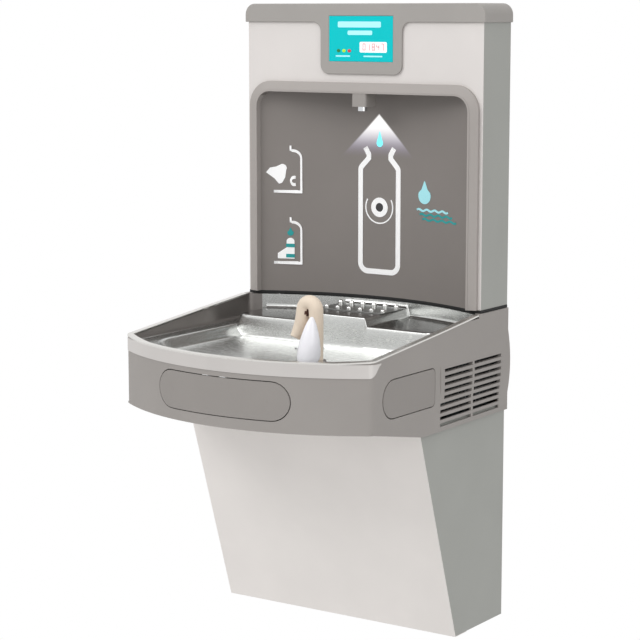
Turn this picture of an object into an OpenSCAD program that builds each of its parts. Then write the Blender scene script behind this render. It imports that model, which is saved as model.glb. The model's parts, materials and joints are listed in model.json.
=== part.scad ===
// Wall-hung bottle filling station: filler tower, drinking basin and chiller cabinet.
// Millimetres. The origin is the centre of the wall hanger's bolt pattern, on the wall.
// +Z is up, +X is to the viewer's right and the front of the unit faces -Y.
// Heights in the values below are counted from the cabinet's bottom edge.

/* [Wall hanger] */
// Height of the hanger's centre above the cabinet bottom
hanger_h = 470; // [460:1:480]
// Width of the hanger plate
hanger_w = 380; // [340:5:410]
// Height of the hanger plate
hanger_plate_h = 44; // [40:1:48]
// Thickness of the hanger plate
hanger_t = 2; // [1.5:0.1:3]
// Distance between the hanger's outer bolts, along the wall
hanger_bolt_x = 340; // [280:5:350]
// Distance between the hanger's bolt rows, up the wall
hanger_bolt_z = 26; // [22:1:28]
// Radius of the hanger's bolt holes
hanger_hole_r = 3.5; // [2.5:0.1:4.5]

/* [Sheet metal] */
// Thickness of the outer steel panels
sheet_t = 1.2; // [0.8:0.1:2]
// Thickness of the chassis steel
chassis_t = 1.5; // [1.2:0.1:2.5]
// Gap between the wall and the back plates
back_gap = 3; // [2.5:0.1:5]
// Width of the folded flanges
flange_w = 12; // [8:1:14]

/* [Cabinet] */
// Width of the lower cabinet
cabinet_w = 447; // [440:1:452]
// Depth of the cabinet at its bottom edge
cabinet_d = 150.6; // [146:0.2:160]
// Forward lean of the cabinet front for each unit of height
cabinet_lean_share = 0.325; // [0.3:0.005:0.35]
// Height of the cabinet front panel, whose top hides in the apron
cabinet_front_h = 382; // [378:1:388]
// Height of the cabinet side panels
cabinet_side_h = 362; // [358:1:366]
// Height of the upper shelf's underside
shelf_z = 343; // [338:1:345]
// Depth of the upper shelf
shelf_d = 232; // [228:1:238]

/* [Apron] */
// Half width of the apron at its front corners
apron_side_x = 232.5; // [230:0.5:236]
// Half width of the apron at the wall
apron_rear_x = 229; // [228:0.5:231]
// Depth of the apron's bowed front, at the middle
apron_d = 484; // [478:1:490]
// Radius of the bowed front, in plan
apron_front_r = 398; // [385:1:420]
// Radius of the front corners, in plan
apron_corner_r = 16; // [12:1:22]
// Wall thickness of the apron
apron_t = 3; // [2.5:0.1:3.5]
// Height of the apron's lower edge along the front
apron_front_low = 373; // [370:1:376]
// Height of the apron's lower edge along the cabinet sides
apron_side_low = 347; // [345:1:352]
// Depth at which the side's lower edge begins to rise
apron_low_back_d = 270; // [262:1:280]
// How far behind the apron's front the side's lower edge meets the front's
apron_low_front_d = 77; // [72:1:86]

/* [Louvres] */
// Number of louvre rows
louvre_rows = 9; // [6:1:9]
// Rows at the bottom that reach further forward
louvre_long_rows = 4; // [2:1:5]
// Distance from one louvre row to the next
louvre_pitch = 10.5; // [9.5:0.1:10.6]
// Height of one louvre slot
louvre_slot_h = 5.3; // [4:0.1:6]
// Height of the top louvre row's middle
louvre_top_z = 441; // [438:1:444]
// Depth at which the louvres start, near the wall
louvre_back_d = 30; // [24:1:36]
// Depth at which the upper rows end
louvre_front_d = 207; // [200:1:208]
// Extra reach of the lower rows
louvre_step_d = 12; // [8:1:13]
// Width of the bar that divides each row
louvre_bar_w = 6; // [4:0.5:8]
// How far the louvre field bulges past the side wall at the wall end
louvre_bulge = 4.5; // [3:0.1:4.5]
// Height of the louvre field's bulge
louvre_bulge_h = 104; // [100:1:110]

/* [Push bars] */
// Half width of the front push bar
front_push_half_w = 122; // [116:1:126]
// Height of the push bars
push_h = 58; // [52:1:62]
// Height of the push bars' middle
push_z = 420; // [417:1:422]
// Depth at which the side push bars end, near the wall
side_push_back_d = 236; // [232:1:240]
// How far behind the apron's front the side push bars end
side_push_front_d = 100; // [98:1:108]
// Gap round each push bar
push_gap = 1.5; // [1:0.1:2]
// How far each push bar stands proud at rest
push_proud = 0.6; // [0.3:0.1:0.8]
// Wall of each push bar
push_t = 4; // [3.5:0.1:5]
// Travel of each push bar
push_travel = 4; // [3:0.5:5]
// Radius of the push bars' guide stems
stem_r = 4; // [3.5:0.1:5]

/* [Basin] */
// Steel thickness of the basin
basin_t = 1.2; // [0.9:0.1:1.6]
// Height of the rim along the front
rim_front_z = 481; // [479:0.5:484]
// How far behind the apron's front the rim begins to rise
rim_rise_d = 44; // [38:1:54]
// Depth at which the rim reaches the seam
rim_level_d = 102; // [101:1:106]
// Thickness of the rolled rim
rim_t = 2.5; // [2:0.1:3.5]
// Width of the rolled rim
rim_w = 10; // [9:0.5:12]
// How far the rim stands out over the apron
rim_over = 1; // [0.6:0.1:1.5]
// Height of the steel skirt below the front rim
skirt_h = 22.5; // [18:0.5:25]
// Height of the shoulder inside the rim
shoulder_z = 473; // [470:0.5:475]
// Width of the shoulder inside the rim
shoulder_w = 26; // [22:1:30]
// Height of the bowl's floor
floor_z = 455; // [453:0.5:458]
// Height of the deck behind the bowl
deck_z = 490; // [487:0.5:492]
// Depth of the deck's front edge
deck_d = 175; // [170:1:180]
// Half width of the deck
deck_half_w = 198; // [194:1:199]
// Half width of the raised drain platform
platform_half_w = 66; // [64:1:70]
// Height of the raised drain platform
platform_z = 504; // [501:0.5:506]

/* [Bubbler] */
// Distance of the bubbler from the middle, to the right
bubbler_x = 108; // [100:1:112]
// Distance of the bubbler from the apron's front
bubbler_d = 96; // [92:1:100]
// Radius of the bubbler's foot
bubbler_foot_r = 31; // [29:1:32]
// Radius of the bubbler's stem
bubbler_stem_r = 9; // [8:0.5:10]
// Height of the flexible hood's top above the bowl floor
bubbler_hood_h = 115; // [110:1:120]

/* [Waste] */
// Radius of the waste pipe
waste_r = 15.9; // [15:0.1:16.5]
// Wall of the waste pipe
waste_t = 1.6; // [1.2:0.1:2]
// Radius of the strainer's flange
strainer_r = 24; // [22:0.5:26]
// Sideways place of the waste
waste_x = -15; // [-18:1:-12]
// Distance of the waste from the wall
waste_d = 215; // [212:1:220]
// Bend radius of the trap, to the pipe's middle
trap_bend_r = 25; // [24:0.5:27]
// Height of the trap's lower bend centre
trap_z = 392; // [391:0.5:395]

/* [Tower] */
// Width of the filler tower
tower_w = 453; // [450:1:455]
// Depth of the filler tower
tower_d = 86.5; // [84:0.5:90]
// Height of the seam between basin and tower
seam_z = 517; // [515:0.5:518]
// Thickness of the seam gasket
gasket_t = 5; // [4:0.5:6]
// Height of the tower's top edge, below the cap
tower_top_z = 972; // [966:1:980]

/* [Top cap] */
// Height of the cap
cap_h = 30; // [26:1:34]
// Overhang of the cap at each side and at the front
cap_over = 4; // [3:0.5:6]
// Radius of the cap's upper corners
cap_r = 18; // [12:1:22]
// Half width of the display pocket
pocket_half_w = 78.5; // [74:0.5:82]
// Height of the display pocket's lower edge
pocket_low_z = 888; // [886:1:892]
// Radius of the display pocket's corners
pocket_r = 15; // [10:1:18]
// Half width of the display window
window_half_w = 61.5; // [56:0.5:66]
// Height of the display window's lower edge
window_low_z = 908.5; // [906:0.5:912]
// Height of the display window
window_h = 73.5; // [68:0.5:76]
// Thickness of the display window
window_t = 2; // [1.5:0.1:2.5]

/* [Alcove] */
// Half width of the liner's frame
liner_half_w = 221; // [219:0.5:222]
// Height of the liner's upper edge
liner_top_z = 874.5; // [870:0.5:878]
// Radius of the liner's upper corners
liner_r = 42; // [36:1:48]
// Width of the liner's frame
liner_frame_w = 17; // [15:0.5:19]
// How far the frame's outer edge stands proud
liner_proud = 5.5; // [4:0.5:7]
// How much further the frame's inner edge stands out
liner_slope = 4.5; // [3:0.5:6]
// Wall thickness of the liner
liner_t = 3; // [2:0.1:3.5]
// Distance of the liner's back from the wall, at the middle
alcove_back_d = 35.5; // [34:0.5:40]
// Radius of the alcove's curved back, in plan
alcove_r = 443; // [435:1:455]

/* [Filler] */
// Distance of the nozzle from the wall
nozzle_d = 84; // [80:0.5:85]
// Height of the nozzle's lower end
nozzle_low_z = 829; // [824:1:834]
// Half width of the nozzle housing
nozzle_half_w = 14; // [12:0.5:16]
// Radius of the aerator
aerator_r = 8; // [7:0.5:9]
// Radius of the bottle sensor's window
sensor_r = 12; // [10:0.5:14]
// Height of the bottle sensor
sensor_z = 668; // [655:1:680]

/* [Water] */
// Radius of the water tubes
tube_r = 4.76; // [4:0.02:5]
// Radius of the filter cartridge
filter_r = 36; // [33:1:38]
// Length of the filter cartridge's body
filter_h = 224; // [200:2:235]
// Radius of the filter cartridge's neck
filter_neck_r = 18; // [16:0.5:20]
// Sideways place of the water inlet
inlet_x = -70; // [-78:1:-62]
// Height of the water inlet
inlet_z = 404; // [400:1:410]

/* [Chiller] */
// Radius of the compressor's pot
compressor_r = 66; // [60:1:68]
// Height of the compressor's pot
compressor_h = 150; // [140:1:160]
// Radius of the insulated tank
tank_r = 56; // [52:1:58]
// Height of the insulated tank
tank_h = 285; // [270:1:288]
// Radius of the refrigerant tubes
gas_r = 3.2; // [2.6:0.1:3.5]
// Radius of the fan's blades
fan_r = 41; // [36:1:42]
// Number of fan blades
fan_blades_n = 5; // [4:1:7]
// Length of the condenser, along the wall-to-front line
condenser_l = 176; // [160:2:180]
// Number of condenser fins
condenser_fins = 17; // [12:1:20]

/* [Hidden] */
$fn = 48;

// Overrun for cuts, gap at seats, radial play of sliding fits and smoothness of arcs
cut_over = 2;
seat_gap = 0.2;
slide_play = 0.1;
corner_steps = 6;
front_steps = 24;

// Levels that several pieces share
seam_low = seam_z - gasket_t / 2;
seam_high = seam_z + gasket_t / 2;
cabinet_x = cabinet_w / 2;
tower_x = tower_w / 2;
back_y = -back_gap;
plate_y = back_y - chassis_t;
cap_x = tower_x + cap_over;
cap_y = -tower_d - cap_over;
cap_top_z = tower_top_z + cap_h;
plan_front_y = apron_front_r - apron_d;
low_front_y = apron_low_front_d - apron_d;
side_push_front_y = side_push_front_d - apron_d;
bubbler_y = bubbler_d - apron_d;
alcove_y = -alcove_back_d - alcove_r;
basin_wall_in = rim_w - rim_over;
basin_wall_r = apron_corner_r;
bowl_in = basin_wall_in + shoulder_w;
bowl_corner_r = 40;
base_top = chassis_t;
shelf_top = shelf_z + chassis_t;

// Moves the finished pieces so that the hanger's centre is the origin
module in_frame() {
  translate([0, 0, -hanger_h])
    children();
}

// A box from a low and a high value on each axis
module slab(x, y, z) {
  translate([x[0], y[0], z[0]])
    cube([x[1] - x[0], y[1] - y[0], z[1] - z[0]]);
}

// Rods that start at a point and run along one axis
module rod_x(p, r, l) {
  translate(p)
    rotate([0, 90, 0])
      cylinder(r = r, h = l);
}

module rod_y(p, r, l) {
  translate(p)
    rotate([-90, 0, 0])
      cylinder(r = r, h = l);
}

module rod_z(p, r, l) {
  translate(p)
    cylinder(r = r, h = l);
}

// Plates drawn in the X-Z plane, between two Y values
module plate_xz(y) {
  translate([0, y[1], 0])
    rotate([90, 0, 0])
      linear_extrude(y[1] - y[0])
        children();
}

// Plates drawn in the Y-Z plane, between two X values
module plate_yz(x) {
  translate([x[0], 0, 0])
    rotate([90, 0, 90])
      linear_extrude(x[1] - x[0])
        children();
}

// Plates drawn in plan, between two heights
module plate_xy(z) {
  translate([0, 0, z[0]])
    linear_extrude(z[1] - z[0])
      children();
}

module both_sides() {
  children();
  mirror([1, 0, 0])
    children();
}

// A tube through a list of points, with a ball at each bend
elbow_share = 1.2;

module tube_run(points, r) {
  for (i = [0 : len(points) - 2]) {
    run = points[i + 1] - points[i];
    reach = norm(run);
    translate(points[i])
      rotate([0, acos(run[2] / reach), atan2(run[1], run[0])])
        cylinder(r = r, h = reach, $fn = 24);
  }
  if (len(points) > 2)
    for (i = [1 : len(points) - 2])
      translate(points[i])
        sphere(r = r * elbow_share, $fn = 24);
}

function arc(c, r, a0, a1, n) = [for (i = [0 : n])
  c + r * [cos(a0 + (a1 - a0) * i / n), sin(a0 + (a1 - a0) * i / n)]];

function round_rect(x, y, r) = concat(
  arc([x[1] - r, y[0] + r], r, -90, 0, corner_steps),
  arc([x[1] - r, y[1] - r], r, 0, 90, corner_steps),
  arc([x[0] + r, y[1] - r], r, 90, 180, corner_steps),
  arc([x[0] + r, y[0] + r], r, 180, 270, corner_steps));

// A doorway outline with rounded upper corners
function arch(half_w, low, high, r) = concat(
  [[-half_w, low], [half_w, low]],
  arc([half_w - r, high - r], r, 0, 90, corner_steps),
  arc([-half_w + r, high - r], r, 90, 180, corner_steps));

// Half of the apron's plan, moved inwards, from the wall to the middle of the front
function half_plan(inset, r) =
  let (side = apron_side_x - inset, big = apron_front_r - inset)
  let (cx = side - r)
  let (cy = plan_front_y - sqrt(pow(big - r, 2) - pow(cx, 2)))
  let (turn = atan2(cy - plan_front_y, cx))
  concat([[apron_rear_x - inset, 0], [side, -louvre_front_d - louvre_step_d]],
    arc([cx, cy], r, 0, turn, corner_steps),
    arc([0, plan_front_y], big, turn, -90, front_steps / 2));

function plan(inset, r) =
  let (half = half_plan(inset, r), last = len(half) - 1)
  concat(half, [for (i = [last - 1 : -1 : 0]) [-half[i][0], half[i][1]]]);

// Y of the apron's inner face at a given X
function apron_inner_y(x) =
  plan_front_y - sqrt(pow(apron_front_r - apron_t, 2) - pow(x, 2));

// The cabinet front's depth at a given height
function cabinet_front_d(z) = cabinet_d + cabinet_lean_share * z;

// The space under the rim line, lowered by drop
function under_rim(drop) = [[cut_over, 0], [cut_over, seam_low - drop],
  [-rim_level_d, seam_low - drop], [rim_rise_d - apron_d, rim_front_z - drop],
  [-apron_d - rim_w, rim_front_z - drop], [-apron_d - rim_w, 0]];

// Wall hanger: a bolted plate with two hooks that carry the chassis
hook_x = 120;
hook_w = 38;
hook_reach = 8;
hook_rise = 10;
hook_z = hanger_h + hanger_plate_h / 2;

module wall_hanger() {
  plate = [hanger_h - hanger_plate_h / 2, hook_z];
  hook_front = plate_y - hook_reach;
  color("#b9bcbd")
    difference() {
      union() {
        slab([-hanger_w / 2, hanger_w / 2], [-hanger_t, 0], plate);
        both_sides() {
          slab([hook_x - hook_w / 2, hook_x + hook_w / 2],
            [hook_front, 0], [hook_z - hanger_t, hook_z]);
          slab([hook_x - hook_w / 2, hook_x + hook_w / 2],
            [hook_front, hook_front + hanger_t],
            [hook_z - hanger_t, hook_z + hook_rise]);
        }
      }
      for (x = [-1, 1], z = [-1, 1])
        rod_y([x * hanger_bolt_x / 2, -hanger_t - cut_over,
          hanger_h + z * hanger_bolt_z / 2],
          hanger_hole_r, hanger_t + 2 * cut_over);
    }
}

// Chassis back: the full-width plate behind cabinet and basin, with two carrying arms
arm_w = 20;
arm_h = 20;
arm_low = 450;
arm_front_d = 112;
arm_d = apron_d - arm_front_d;
arm_x = apron_rear_x - apron_t - seat_gap - 0.5 * chassis_t;
rough_x = [-96, 32];
rough_z = [376, 444];
anchor_x = 150;
anchor_z = 40;
anchor_hole_r = 4;
chassis_x = cabinet_x - sheet_t - seat_gap;

module chassis_back() {
  top = seam_low - apron_t - seat_gap;
  r = gland_r + slide_play;
  color("#a9adaf") {
    difference() {
      slab([-chassis_x, chassis_x], [plate_y, back_y], [base_top + seat_gap, top]);
      slab(rough_x, [plate_y - cut_over, cut_over], rough_z);
      both_sides() {
        slab([hook_x - hook_w / 2 - seat_gap, hook_x + hook_w / 2 + seat_gap],
          [plate_y - cut_over, cut_over],
          [hook_z - hanger_t - hook_rise, hook_z + seat_gap]);
        rod_y([anchor_x, plate_y - cut_over, anchor_z],
          anchor_hole_r, chassis_t + 2 * cut_over);
      }
      slab([-chassis_x - cut_over, gland_p[0] + r], [plate_y - cut_over, cut_over],
        [gland_p[1] - r, gland_p[1] + r]);
    }
    both_sides() {
      slab([arm_x - chassis_t, arm_x], [-arm_d, back_y],
        [arm_low, arm_low + arm_h]);
      slab([arm_x - arm_w, arm_x], [-arm_d, back_y],
        [arm_low, arm_low + chassis_t]);
    }
  }
}

// Cabinet base: a tray that carries the compressor and the tank
base_flange_h = 14;

module cabinet_base() {
  x = cabinet_x - sheet_t - seat_gap;
  front = -cabinet_d + sheet_t + seat_gap;
  color("#a9adaf")
    difference() {
      slab([-x, x], [front, plate_y], [0, base_flange_h]);
      slab([-x + chassis_t, x - chassis_t],
        [front + chassis_t, plate_y + cut_over],
        [base_top, base_flange_h + cut_over]);
      for (x = base_screw_x)
        rod_z([x, base_screw_y, -cut_over], screw_r + slide_play,
          base_top + 2 * cut_over);
    }
}

// Upper shelf: carries fan, condenser and valves, with holes for the tubes
shelf_hole_r = 7;
shelf_lip_h = 16;

module upper_shelf() {
  x = cabinet_x - sheet_t - seat_gap;
  color("#a9adaf")
    difference() {
      union() {
        slab([-x, x], [-shelf_d, plate_y - seat_gap], [shelf_z, shelf_top]);
        slab([-x, x], [-shelf_d, -shelf_d + chassis_t],
          [shelf_z - shelf_lip_h, shelf_top]);
        both_sides()
          slab([x - chassis_t, x], [-shelf_d, plate_y - seat_gap],
            [shelf_z - shelf_lip_h, shelf_top]);
      }
      for (p = shelf_holes)
        rod_z([p[0], p[1], shelf_z - cut_over], shelf_hole_r,
          chassis_t + 2 * cut_over);
    }
}

// Cabinet front: a leaning sheet with folded side returns and a folded bottom
module cabinet_front_panel() {
  edge = cabinet_x - sheet_t;
  function lean(inset, z) = [-cabinet_front_d(z) + inset, z];
  color("#d8d3cf") {
    plate_yz([-cabinet_x, cabinet_x])
      polygon([lean(0, 0), lean(sheet_t, 0),
        lean(sheet_t, cabinet_front_h), lean(0, cabinet_front_h)]);
    both_sides()
      plate_yz([edge - 2 * sheet_t - seat_gap, edge - sheet_t - seat_gap])
        polygon([lean(sheet_t, base_flange_h + flange_w),
          lean(flange_w, base_flange_h + flange_w),
          lean(flange_w, shelf_z - 2 * flange_w),
          lean(sheet_t, shelf_z - 2 * flange_w)]);
    difference() {
      slab([-cabinet_x, cabinet_x], [-cabinet_d, base_screw_y + flange_w], [-sheet_t, 0]);
      for (x = base_screw_x)
        rod_z([x, base_screw_y, -sheet_t - cut_over], screw_r + slide_play,
          sheet_t + 2 * cut_over);
    }
  }
}

// Cabinet sides: flat sheets that follow the front panel's lean
module cabinet_side() {
  color("#9c9d98")
    plate_yz([cabinet_x - sheet_t, cabinet_x])
      polygon([[0, 0], [0, cabinet_side_h],
        [-cabinet_front_d(cabinet_side_h) + sheet_t, cabinet_side_h],
        [-cabinet_d + sheet_t, 0]]);
}

module cabinet_right_side() {
  cabinet_side();
}

module cabinet_left_side() {
  mirror([1, 0, 0])
    cabinet_side();
}

// Apron: the moulded surround that carries the basin and the push bars
apron_lip_w = 12;
louvre_bar_d = (louvre_front_d + louvre_back_d) / 2;
bulge_r = (pow(louvre_bulge_h / 2, 2) + pow(louvre_bulge, 2)) / (2 * louvre_bulge);
bulge_x = apron_rear_x + louvre_bulge;
bulge_z = louvre_top_z - louvre_pitch * 4 / 3;

module push_outline(x, r0, r1, grow) {
  polygon(concat(
    arc([x[0] + r0, push_z], r0 + grow, 90, 270, 2 * corner_steps),
    arc([x[1] - r1, push_z - push_h / 2 + r1], r1 + grow, -90, 0, corner_steps),
    arc([x[1] - r1, push_z + push_h / 2 - r1], r1 + grow, 0, 90, corner_steps)));
}

side_push_corner_r = 8;

module front_push_outline(grow) {
  push_outline([-front_push_half_w, front_push_half_w],
    push_h / 2, push_h / 2, grow);
}

module side_push_outline(grow) {
  push_outline([side_push_front_y, -side_push_back_d],
    push_h / 2, side_push_corner_r, grow);
}

module louvres() {
  for (row = [0 : louvre_rows - 1]) {
    z = louvre_top_z - row * louvre_pitch;
    long = row >= louvre_rows - louvre_long_rows;
    front = louvre_front_d + (long ? louvre_step_d : 0);
    for (y = [[-front, -louvre_bar_d - louvre_bar_w / 2],
        [-louvre_bar_d + louvre_bar_w / 2, -louvre_back_d]])
      slab([apron_rear_x - apron_lip_w, bulge_x + cut_over], y,
        [z - louvre_slot_h / 2, z + louvre_slot_h / 2]);
  }
}

module apron_wall() {
  low = [[cut_over, apron_side_low], [-apron_low_back_d, apron_side_low],
    [low_front_y, apron_front_low], [-apron_d - cut_over, apron_front_low],
    [-apron_d - cut_over, seam_z], [cut_over, seam_z]];
  difference() {
    union() {
      intersection() {
        plate_xy([apron_side_low, seam_low])
          polygon(plan(0, apron_corner_r));
        plate_yz([-apron_d, apron_d])
          intersection() {
            polygon(under_rim(rim_t));
            polygon(low);
          }
      }
      plate_xy([seam_low - apron_t, seam_low])
        difference() {
          polygon(plan(0, apron_corner_r));
          translate([0, -apron_d])
            square([apron_d, 2 * apron_d - 2 * rim_level_d], center = true);
        }
    }
    plate_xy([apron_side_low - cut_over, seam_low - apron_t])
      polygon(plan(apron_t, apron_corner_r - apron_t));
    translate([0, cut_over, 0])
      plate_xy([seam_low - 2 * apron_t, seam_low + cut_over])
        polygon(plan(apron_lip_w, apron_corner_r));
    rod_z([0, alcove_y, seam_low - 2 * apron_t],
      alcove_r + basin_t + seat_gap, 2 * apron_t + cut_over);
    slab([-apron_rear_x + apron_t, apron_rear_x - apron_t],
      [-apron_t - cut_over, cut_over], [apron_side_low - cut_over, seam_low - apron_t]);
  }
}

module apron_shroud() {
  color("#a19c98")
    difference() {
      union() {
        apron_wall();
        plate_xy([apron_front_low, apron_front_low + apron_t])
          difference() {
            polygon(plan(apron_t / 2, apron_corner_r - apron_t / 2));
            translate([-apron_d, low_front_y])
              square(2 * apron_d);
          }
        tray_slope();
        both_sides()
          intersection() {
            rod_y([bulge_x - bulge_r, -louvre_front_d - louvre_step_d,
              bulge_z], bulge_r, louvre_front_d + louvre_step_d);
            slab([apron_rear_x - apron_t, bulge_x],
              [-apron_d, 0],
              [bulge_z - louvre_bulge_h / 2, bulge_z + louvre_bulge_h / 2]);
          }
      }
      both_sides()
        louvres();
      plate_xz([-apron_d - cut_over, low_front_y])
        front_push_outline(push_gap);
      both_sides()
        plate_yz([apron_side_x - 2 * apron_t, apron_side_x + cut_over])
          side_push_outline(push_gap);
    }
}

// The sloping part of the apron's underside, from the front tray back to the cabinet
module tray_slope() {
  back = cabinet_front_d(apron_side_low + 2 * apron_t) + seat_gap;
  x = apron_side_x - apron_t / 2;
  plate_yz([-x, x])
    polygon([[low_front_y - apron_t, apron_front_low],
      [low_front_y, apron_front_low],
      [-apron_low_back_d, apron_side_low], [-back, apron_side_low],
      [-back, apron_side_low + apron_t],
      [-apron_low_back_d, apron_side_low + apron_t],
      [low_front_y, apron_front_low + apron_t],
      [low_front_y - apron_t, apron_front_low + apron_t]]);
}

// Push bars: plates with two guide stems and a middle boss that works a switch
bracket_t = 2;
bracket_gap = 34;
bracket_h = 34;
stem_x = 84;
side_stem_y = 44;
stem_past = 10;
spring_r = 7;
spring_t = 1.2;
switch_w = 28;
switch_h = 15;
switch_d = 12;
plunger_r = 2;
plunger_out = 8;
boss_r = 5;
front_push_y = apron_inner_y(0) + push_t - apron_t;
front_bracket_y = front_push_y + bracket_gap;
side_push_x = apron_side_x - push_t;
side_bracket_x = side_push_x - bracket_gap;
side_push_y = (side_push_front_y - side_push_back_d) / 2;
switch_face = bracket_gap - switch_d;

// A push bar's stems and boss, drawn along +Z from the bar's back at the origin
module push_stems(spread, root) {
  for (s = [-1, 1])
    translate([s * spread, 0, -root])
      cylinder(r = stem_r, h = root + bracket_gap + bracket_t + stem_past);
  translate([0, 0, -root])
    cylinder(r = boss_r, h = root + switch_face - plunger_out - seat_gap);
}

module front_push() {
  color("#a5a09c")
    union() {
      intersection() {
        plate_xy([push_z - push_h, push_z + push_h])
          difference() {
            polygon(plan(-push_proud, apron_corner_r));
            polygon(plan(push_t, apron_corner_r));
          }
        plate_xz([-apron_d - cut_over, low_front_y])
          front_push_outline(0);
      }
      translate([0, front_push_y, push_z])
        rotate([-90, 0, 0])
          push_stems(stem_x, front_push_root());
    }
}

// How far the stems reach forward into the bowed plate
function front_push_root() =
  front_push_y - (plan_front_y - sqrt(pow(apron_front_r, 2) - pow(stem_x, 2)));

module side_push() {
  color("#a5a09c")
    union() {
      plate_yz([side_push_x, apron_side_x + push_proud])
        side_push_outline(0);
      translate([side_push_x, side_push_y, push_z])
        rotate([0, -90, 0])
          rotate([0, 0, 90])
            push_stems(side_stem_y, push_t / 2);
    }
}

module right_push() {
  side_push();
}

module left_push() {
  mirror([1, 0, 0])
    side_push();
}

// Guide brackets: one behind each push bar, fixed to the apron's inner face
bracket_foot_x = 138;
bracket_foot_w = 8;
side_foot_gap = 6;

module front_bracket() {
  z = [push_z - bracket_h / 2, push_z + bracket_h / 2];
  outer = bracket_foot_x + bracket_foot_w;
  difference() {
    union() {
      slab([-outer, outer], [front_bracket_y, front_bracket_y + bracket_t], z);
      both_sides()
        slab([bracket_foot_x, outer],
          [apron_inner_y(outer) + seat_gap, front_bracket_y + bracket_t], z);
    }
    for (s = [-1, 1])
      rod_y([s * stem_x, front_bracket_y - cut_over, push_z],
        stem_r + slide_play, bracket_t + 2 * cut_over);
    rod_y([0, front_bracket_y - cut_over, push_z],
      plunger_r + plunger_out / 2, bracket_t + 2 * cut_over);
  }
}

module side_bracket() {
  z = [push_z - bracket_h / 2, push_z + bracket_h / 2];
  back = -side_push_back_d + push_gap + side_foot_gap;
  front = side_push_front_y - push_gap;
  face = apron_side_x - apron_t - seat_gap;
  difference() {
    union() {
      slab([side_bracket_x - bracket_t, side_bracket_x],
        [front, back], z);
      slab([side_bracket_x - bracket_t, face],
        [back - bracket_t, back], z);
      slab([side_bracket_x - bracket_t, face],
        [front - bracket_t, front], z);
    }
    for (s = [-1, 1])
      rod_x([side_bracket_x - bracket_t - cut_over,
        side_push_y + s * side_stem_y, push_z],
        stem_r + slide_play, bracket_t + 2 * cut_over);
    rod_x([side_bracket_x - bracket_t - cut_over, side_push_y, push_z],
      plunger_r + plunger_out / 2, bracket_t + 2 * cut_over);
  }
}

module push_brackets() {
  color("#b0b3b4") {
    front_bracket();
    both_sides()
      side_bracket();
  }
}

// Switch bodies sit on the brackets, with a bore for the plunger. Drawn along +Z.
module switch_body() {
  difference() {
    translate([-switch_w / 2, -switch_h / 2, switch_face])
      cube([switch_w, switch_h, switch_d]);
    translate([0, 0, switch_face - cut_over])
      cylinder(r = plunger_r + slide_play, h = switch_d + 2 * cut_over);
  }
}

module switch_plunger() {
  translate([0, 0, switch_face - plunger_out])
    cylinder(r = plunger_r, h = plunger_out + switch_d - push_travel);
}

module at_front_push() {
  translate([0, front_push_y, push_z])
    rotate([-90, 0, 0])
      children();
}

module at_right_push() {
  translate([side_push_x, side_push_y, push_z])
    rotate([0, -90, 0])
      rotate([0, 0, 90])
        children();
}

module push_switches() {
  color("#2e2e30") {
    at_front_push()
      switch_body();
    both_sides()
      at_right_push()
        switch_body();
  }
}

module front_switch_plunger() {
  color("#c03a2c")
    at_front_push()
      switch_plunger();
}

module right_switch_plunger() {
  color("#c03a2c")
    at_right_push()
      switch_plunger();
}

module left_switch_plunger() {
  mirror([1, 0, 0])
    right_switch_plunger();
}

// Return springs round the stems, as plain sleeves
module stem_springs(spread, start) {
  for (s = [-1, 1])
    translate([s * spread, 0, start])
      difference() {
        cylinder(r = spring_r, h = bracket_gap - start - seat_gap);
        translate([0, 0, -cut_over])
          cylinder(r = spring_r - spring_t, h = bracket_gap + 2 * cut_over);
      }
}

module front_springs() {
  flat = plan_front_y
    - sqrt(pow(apron_front_r - push_t, 2) - pow(stem_x + spring_r, 2));
  color("#8d9092")
    at_front_push()
      stem_springs(stem_x, flat - front_push_y + seat_gap + spring_t);
}

module right_springs() {
  color("#8d9092")
    at_right_push()
      stem_springs(side_stem_y, seat_gap);
}

module left_springs() {
  mirror([1, 0, 0])
    right_springs();
}

// Basin: a pressed steel bowl with a rolled rim, a front skirt, a rear deck and a platform
deck_r = 20;
drain_neck_r = waste_r + 2;
drain_flange_t = 1.5;

module inside_alcove(inset, r, z, grow) {
  intersection() {
    plate_xy(z)
      polygon(plan(inset, r));
    rod_z([0, alcove_y, z[0] - cut_over], alcove_r + grow, z[1] - z[0] + 2 * cut_over);
  }
}

module deck_block(inset, low) {
  high = deck_z - inset;
  plate_xy([low, high])
    polygon(round_rect([-deck_half_w + inset, deck_half_w - inset],
      [-deck_d + inset, deck_d], deck_r - inset));
  slab([-platform_half_w + inset, platform_half_w - inset],
    [-deck_d + inset, deck_d], [low, platform_z - inset]);
}

module rim_band(inset, width, drop) {
  intersection() {
    plate_xy([rim_front_z - skirt_h - rim_t, seam_high])
      difference() {
        polygon(plan(inset, apron_corner_r - inset));
        polygon(plan(inset + width, apron_corner_r - min(inset + width, 0)));
      }
    plate_yz([-apron_d, apron_d])
      difference() {
        polygon(under_rim(0));
        polygon(under_rim(drop));
      }
    rod_z([0, alcove_y, 0], alcove_r, seam_high);
  }
}

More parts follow.
